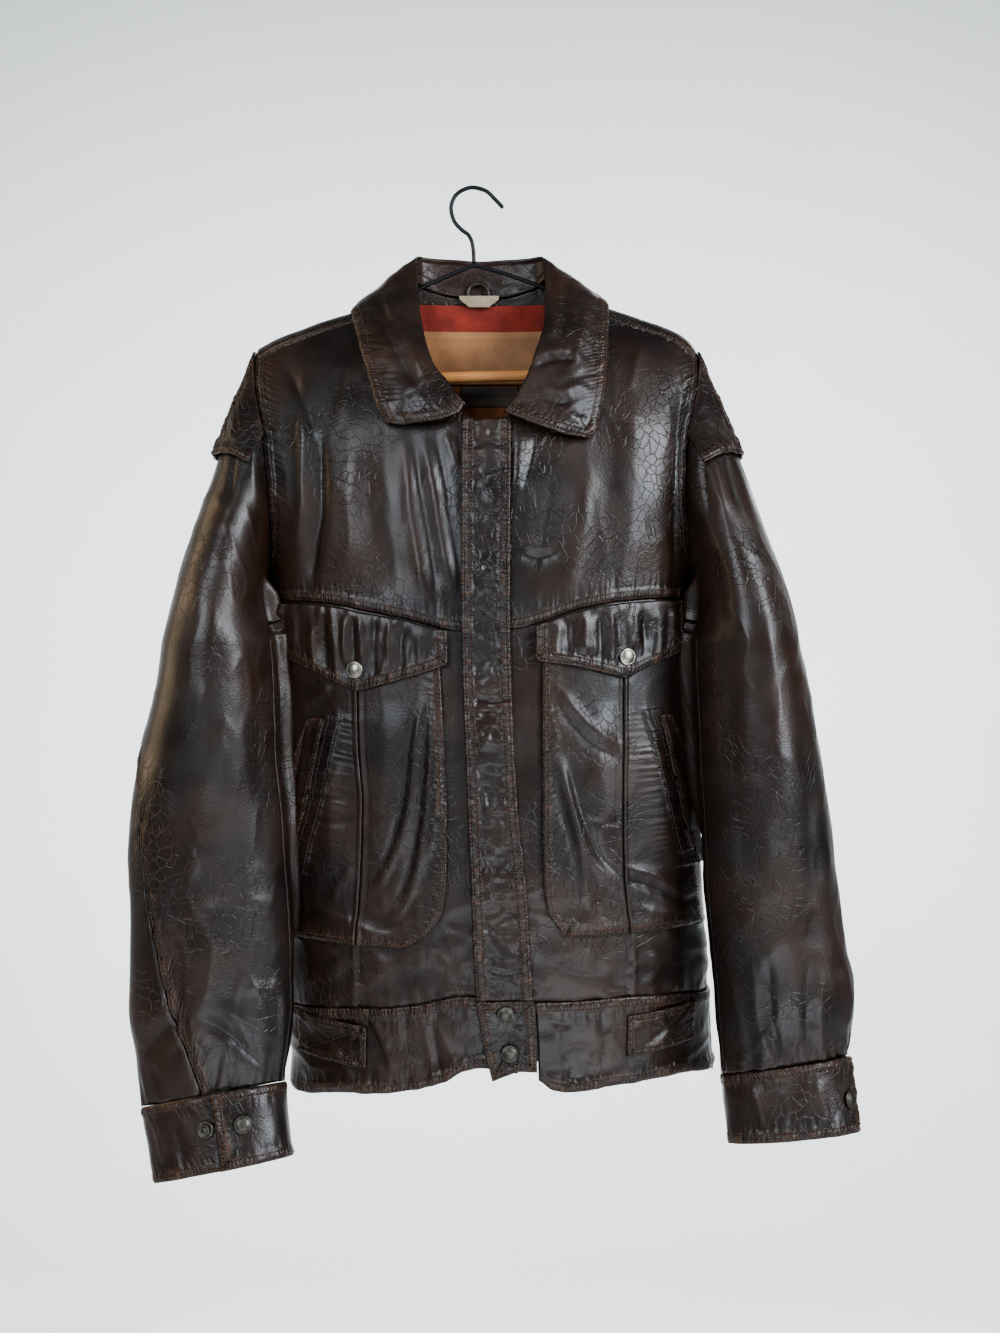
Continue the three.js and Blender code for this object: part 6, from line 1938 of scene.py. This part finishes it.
def build_materials():
    """Every material, on four shared shader groups."""
    groups = {"grain": grain_group(), "wear": wear_group(), "weave": weave_group(),
              "band": band_group()}
    look = settings()
    dark, brown, rubbed = (tuple(c) for c in (look.leather_dark, look.leather_brown,
                                              look.leather_rubbed))
    leather_material("leather", dark, brown, rubbed, 0.41, groups, crease=1.2, wrinkle=0.3)
    leather_material("leather_trim", dark, brown, rubbed, 0.38, groups, 1.0, 1.2, 1.0, 0.4)
    leather_material("leather_collar", tuple(1.25 * c for c in dark), tuple(1.3 * c for c in brown),
                     rubbed, 0.42, groups, 1.1, 1.3, 0.9, 0.36)
    cloth_material("red_cloth", (0.30, 0.035, 0.020), (0.18, 0.022, 0.014), groups)
    cloth_material("orange_cloth", (0.32, 0.105, 0.032), (0.18, 0.06, 0.02), groups)
    cloth_material("label_cloth", (0.42, 0.34, 0.24), (0.30, 0.23, 0.15), groups, 4000.0)
    cloth_material("tan_patch", (0.42, 0.20, 0.085), (0.31, 0.145, 0.06), groups, 0.0, 0.6)
    cloth_material("dark_patch", (0.085, 0.062, 0.042), (0.05, 0.04, 0.03), groups, 0.0, 0.6)
    metal_material("metal", (0.40, 0.365, 0.30), 0.3, 1.0, 0.15)
    metal_material("metal_dark", (0.115, 0.104, 0.09), 0.4, 1.0, 0.15)
    metal_material("wire", (0.012, 0.012, 0.013), 0.32, 0.3, 0.05)
    wood_material("wood", (0.86, 0.40, 0.14), (0.62, 0.26, 0.08))
    plain_material("thread", (0.13, 0.058, 0.026), 0.6)
    plain_material("backdrop", (0.78, 0.80, 0.80), 0.9)


class JacketSettings(PropertyGroup):
    """Colours, fold depth and light of the scene."""

    fold_depth: FloatProperty(name="Fold depth", description="Height of the main folds as a share",
                              default=0.72, min=0.0, max=2.0)
    leather_dark: FloatVectorProperty(name="Dark hide", description="Darkest colour of the hide",
                                      default=(0.0080, 0.0042, 0.0030), size=3, subtype="COLOR")
    leather_brown: FloatVectorProperty(name="Brown hide", description="Lighter colour of the hide",
                                       default=(0.026, 0.0108, 0.0058), size=3, subtype="COLOR")
    leather_rubbed: FloatVectorProperty(name="Rubbed hide", description="Colour where rubbed",
                                        default=(0.092, 0.043, 0.023), size=3, subtype="COLOR")
    key_power: FloatProperty(name="Key light", description="Power of the cool key light",
                             default=72.0, subtype="POWER")
    fill_power: FloatProperty(name="Fill light", description="Power of the cool fill light",
                              default=30.0, subtype="POWER")
    warm_power: FloatProperty(name="Warm light", description="Power of the warm side light",
                              default=15.0, subtype="POWER")
    low_power: FloatProperty(name="Low light", description="Power of the low front light",
                              default=11.0, subtype="POWER")
    wall_power: FloatProperty(name="Wall light", description="Power of the light on the wall",
                              default=110.0, subtype="POWER")
    back_power: FloatProperty(name="Back light", description="Power of the light behind",
                              default=22.0, subtype="POWER")
    sky: FloatProperty(name="Sky", description="Strength of the even light", default=0.11)


class JacketStep:
    """What every step's operator shares."""

    bl_options = {"REGISTER", "UNDO"}


class JACKET_OT_materials(JacketStep, Operator):
    """Make every material"""

    bl_idname = "jacket.materials"
    bl_label = "Materials"

    def execute(self, context):
        build_materials()
        return {"FINISHED"}


class JACKET_OT_hanger(JacketStep, Operator):
    """Make the hook, frame and bar"""

    bl_idname = "jacket.hanger"
    bl_label = "Hanger"

    def execute(self, context):
        build_hanger()
        return {"FINISHED"}


class JACKET_OT_shell(JacketStep, Operator):
    """Make the yoke, fronts, back and waistband"""

    bl_idname = "jacket.shell"
    bl_label = "Shell"

    def execute(self, context):
        build_shell()
        return {"FINISHED"}


class JACKET_OT_closure(JacketStep, Operator):
    """Make the placket and its tab"""

    bl_idname = "jacket.closure"
    bl_label = "Closure"

    def execute(self, context):
        build_closure()
        return {"FINISHED"}


class JACKET_OT_pockets(JacketStep, Operator):
    """Make the pockets, flaps and welts"""

    bl_idname = "jacket.pockets"
    bl_label = "Pockets"

    def execute(self, context):
        build_pockets()
        return {"FINISHED"}


class JACKET_OT_tabs(JacketStep, Operator):
    """Make the waist adjuster tabs"""

    bl_idname = "jacket.tabs"
    bl_label = "Side tabs"

    def execute(self, context):
        build_tabs()
        return {"FINISHED"}


class JACKET_OT_collar(JacketStep, Operator):
    """Make the collar's fall and stand"""

    bl_idname = "jacket.collar"
    bl_label = "Collar"

    def execute(self, context):
        build_collar()
        return {"FINISHED"}


class JACKET_OT_sleeves(JacketStep, Operator):
    """Make the caps, sleeves and cuffs"""

    bl_idname = "jacket.sleeves"
    bl_label = "Sleeves"

    def execute(self, context):
        build_sleeves()
        return {"FINISHED"}


class JACKET_OT_lining(JacketStep, Operator):
    """Make the linings, patches, loop and label"""

    bl_idname = "jacket.lining"
    bl_label = "Lining"

    def execute(self, context):
        build_lining()
        return {"FINISHED"}


class JACKET_OT_snaps(JacketStep, Operator):
    """Make the snap caps and the stud"""

    bl_idname = "jacket.snaps"
    bl_label = "Snaps"

    def execute(self, context):
        build_snaps()
        return {"FINISHED"}


class JACKET_OT_stitching(JacketStep, Operator):
    """Make the stitches of every piece"""

    bl_idname = "jacket.stitching"
    bl_label = "Stitching"

    def execute(self, context):
        build_stitching()
        return {"FINISHED"}


class JACKET_OT_stage(JacketStep, Operator):
    """Make the sweep, lights and camera"""

    bl_idname = "jacket.stage"
    bl_label = "Stage"

    def execute(self, context):
        build_stage()
        return {"FINISHED"}


# In the order in which main calls them
OPERATORS = [JACKET_OT_materials, JACKET_OT_hanger, JACKET_OT_shell, JACKET_OT_closure, JACKET_OT_pockets,
             JACKET_OT_tabs, JACKET_OT_collar, JACKET_OT_sleeves, JACKET_OT_lining, JACKET_OT_snaps,
             JACKET_OT_stitching, JACKET_OT_stage]


class JACKET_PT_panel(Panel):
    """Sidebar panel with the settings and one button a step"""

    bl_label = "Leather jacket"
    bl_space_type = "VIEW_3D"
    bl_region_type = "UI"
    bl_category = "Jacket"

    def draw(self, context):
        for key in JacketSettings.__annotations__:
            self.layout.prop(context.scene.jacket, key)
        for made in OPERATORS:
            self.layout.operator(made.bl_idname)


CLASSES = [JacketSettings, *OPERATORS, JACKET_PT_panel]


def register():
    """Registers the classes and the scene's settings."""
    for made in CLASSES:
        bpy.utils.register_class(made)
    bpy.types.Scene.jacket = PointerProperty(type=JacketSettings)


def unregister():
    """Takes the settings and classes away again."""
    del bpy.types.Scene.jacket
    for made in reversed(CLASSES):
        bpy.utils.unregister_class(made)


def main():
    """Registers the add-on and runs its steps in order."""
    register()
    for made in OPERATORS:
        step = made.bl_idname.partition(".")[2]
        getattr(bpy.ops.jacket, step)()


if __name__ == "__main__":
    main()
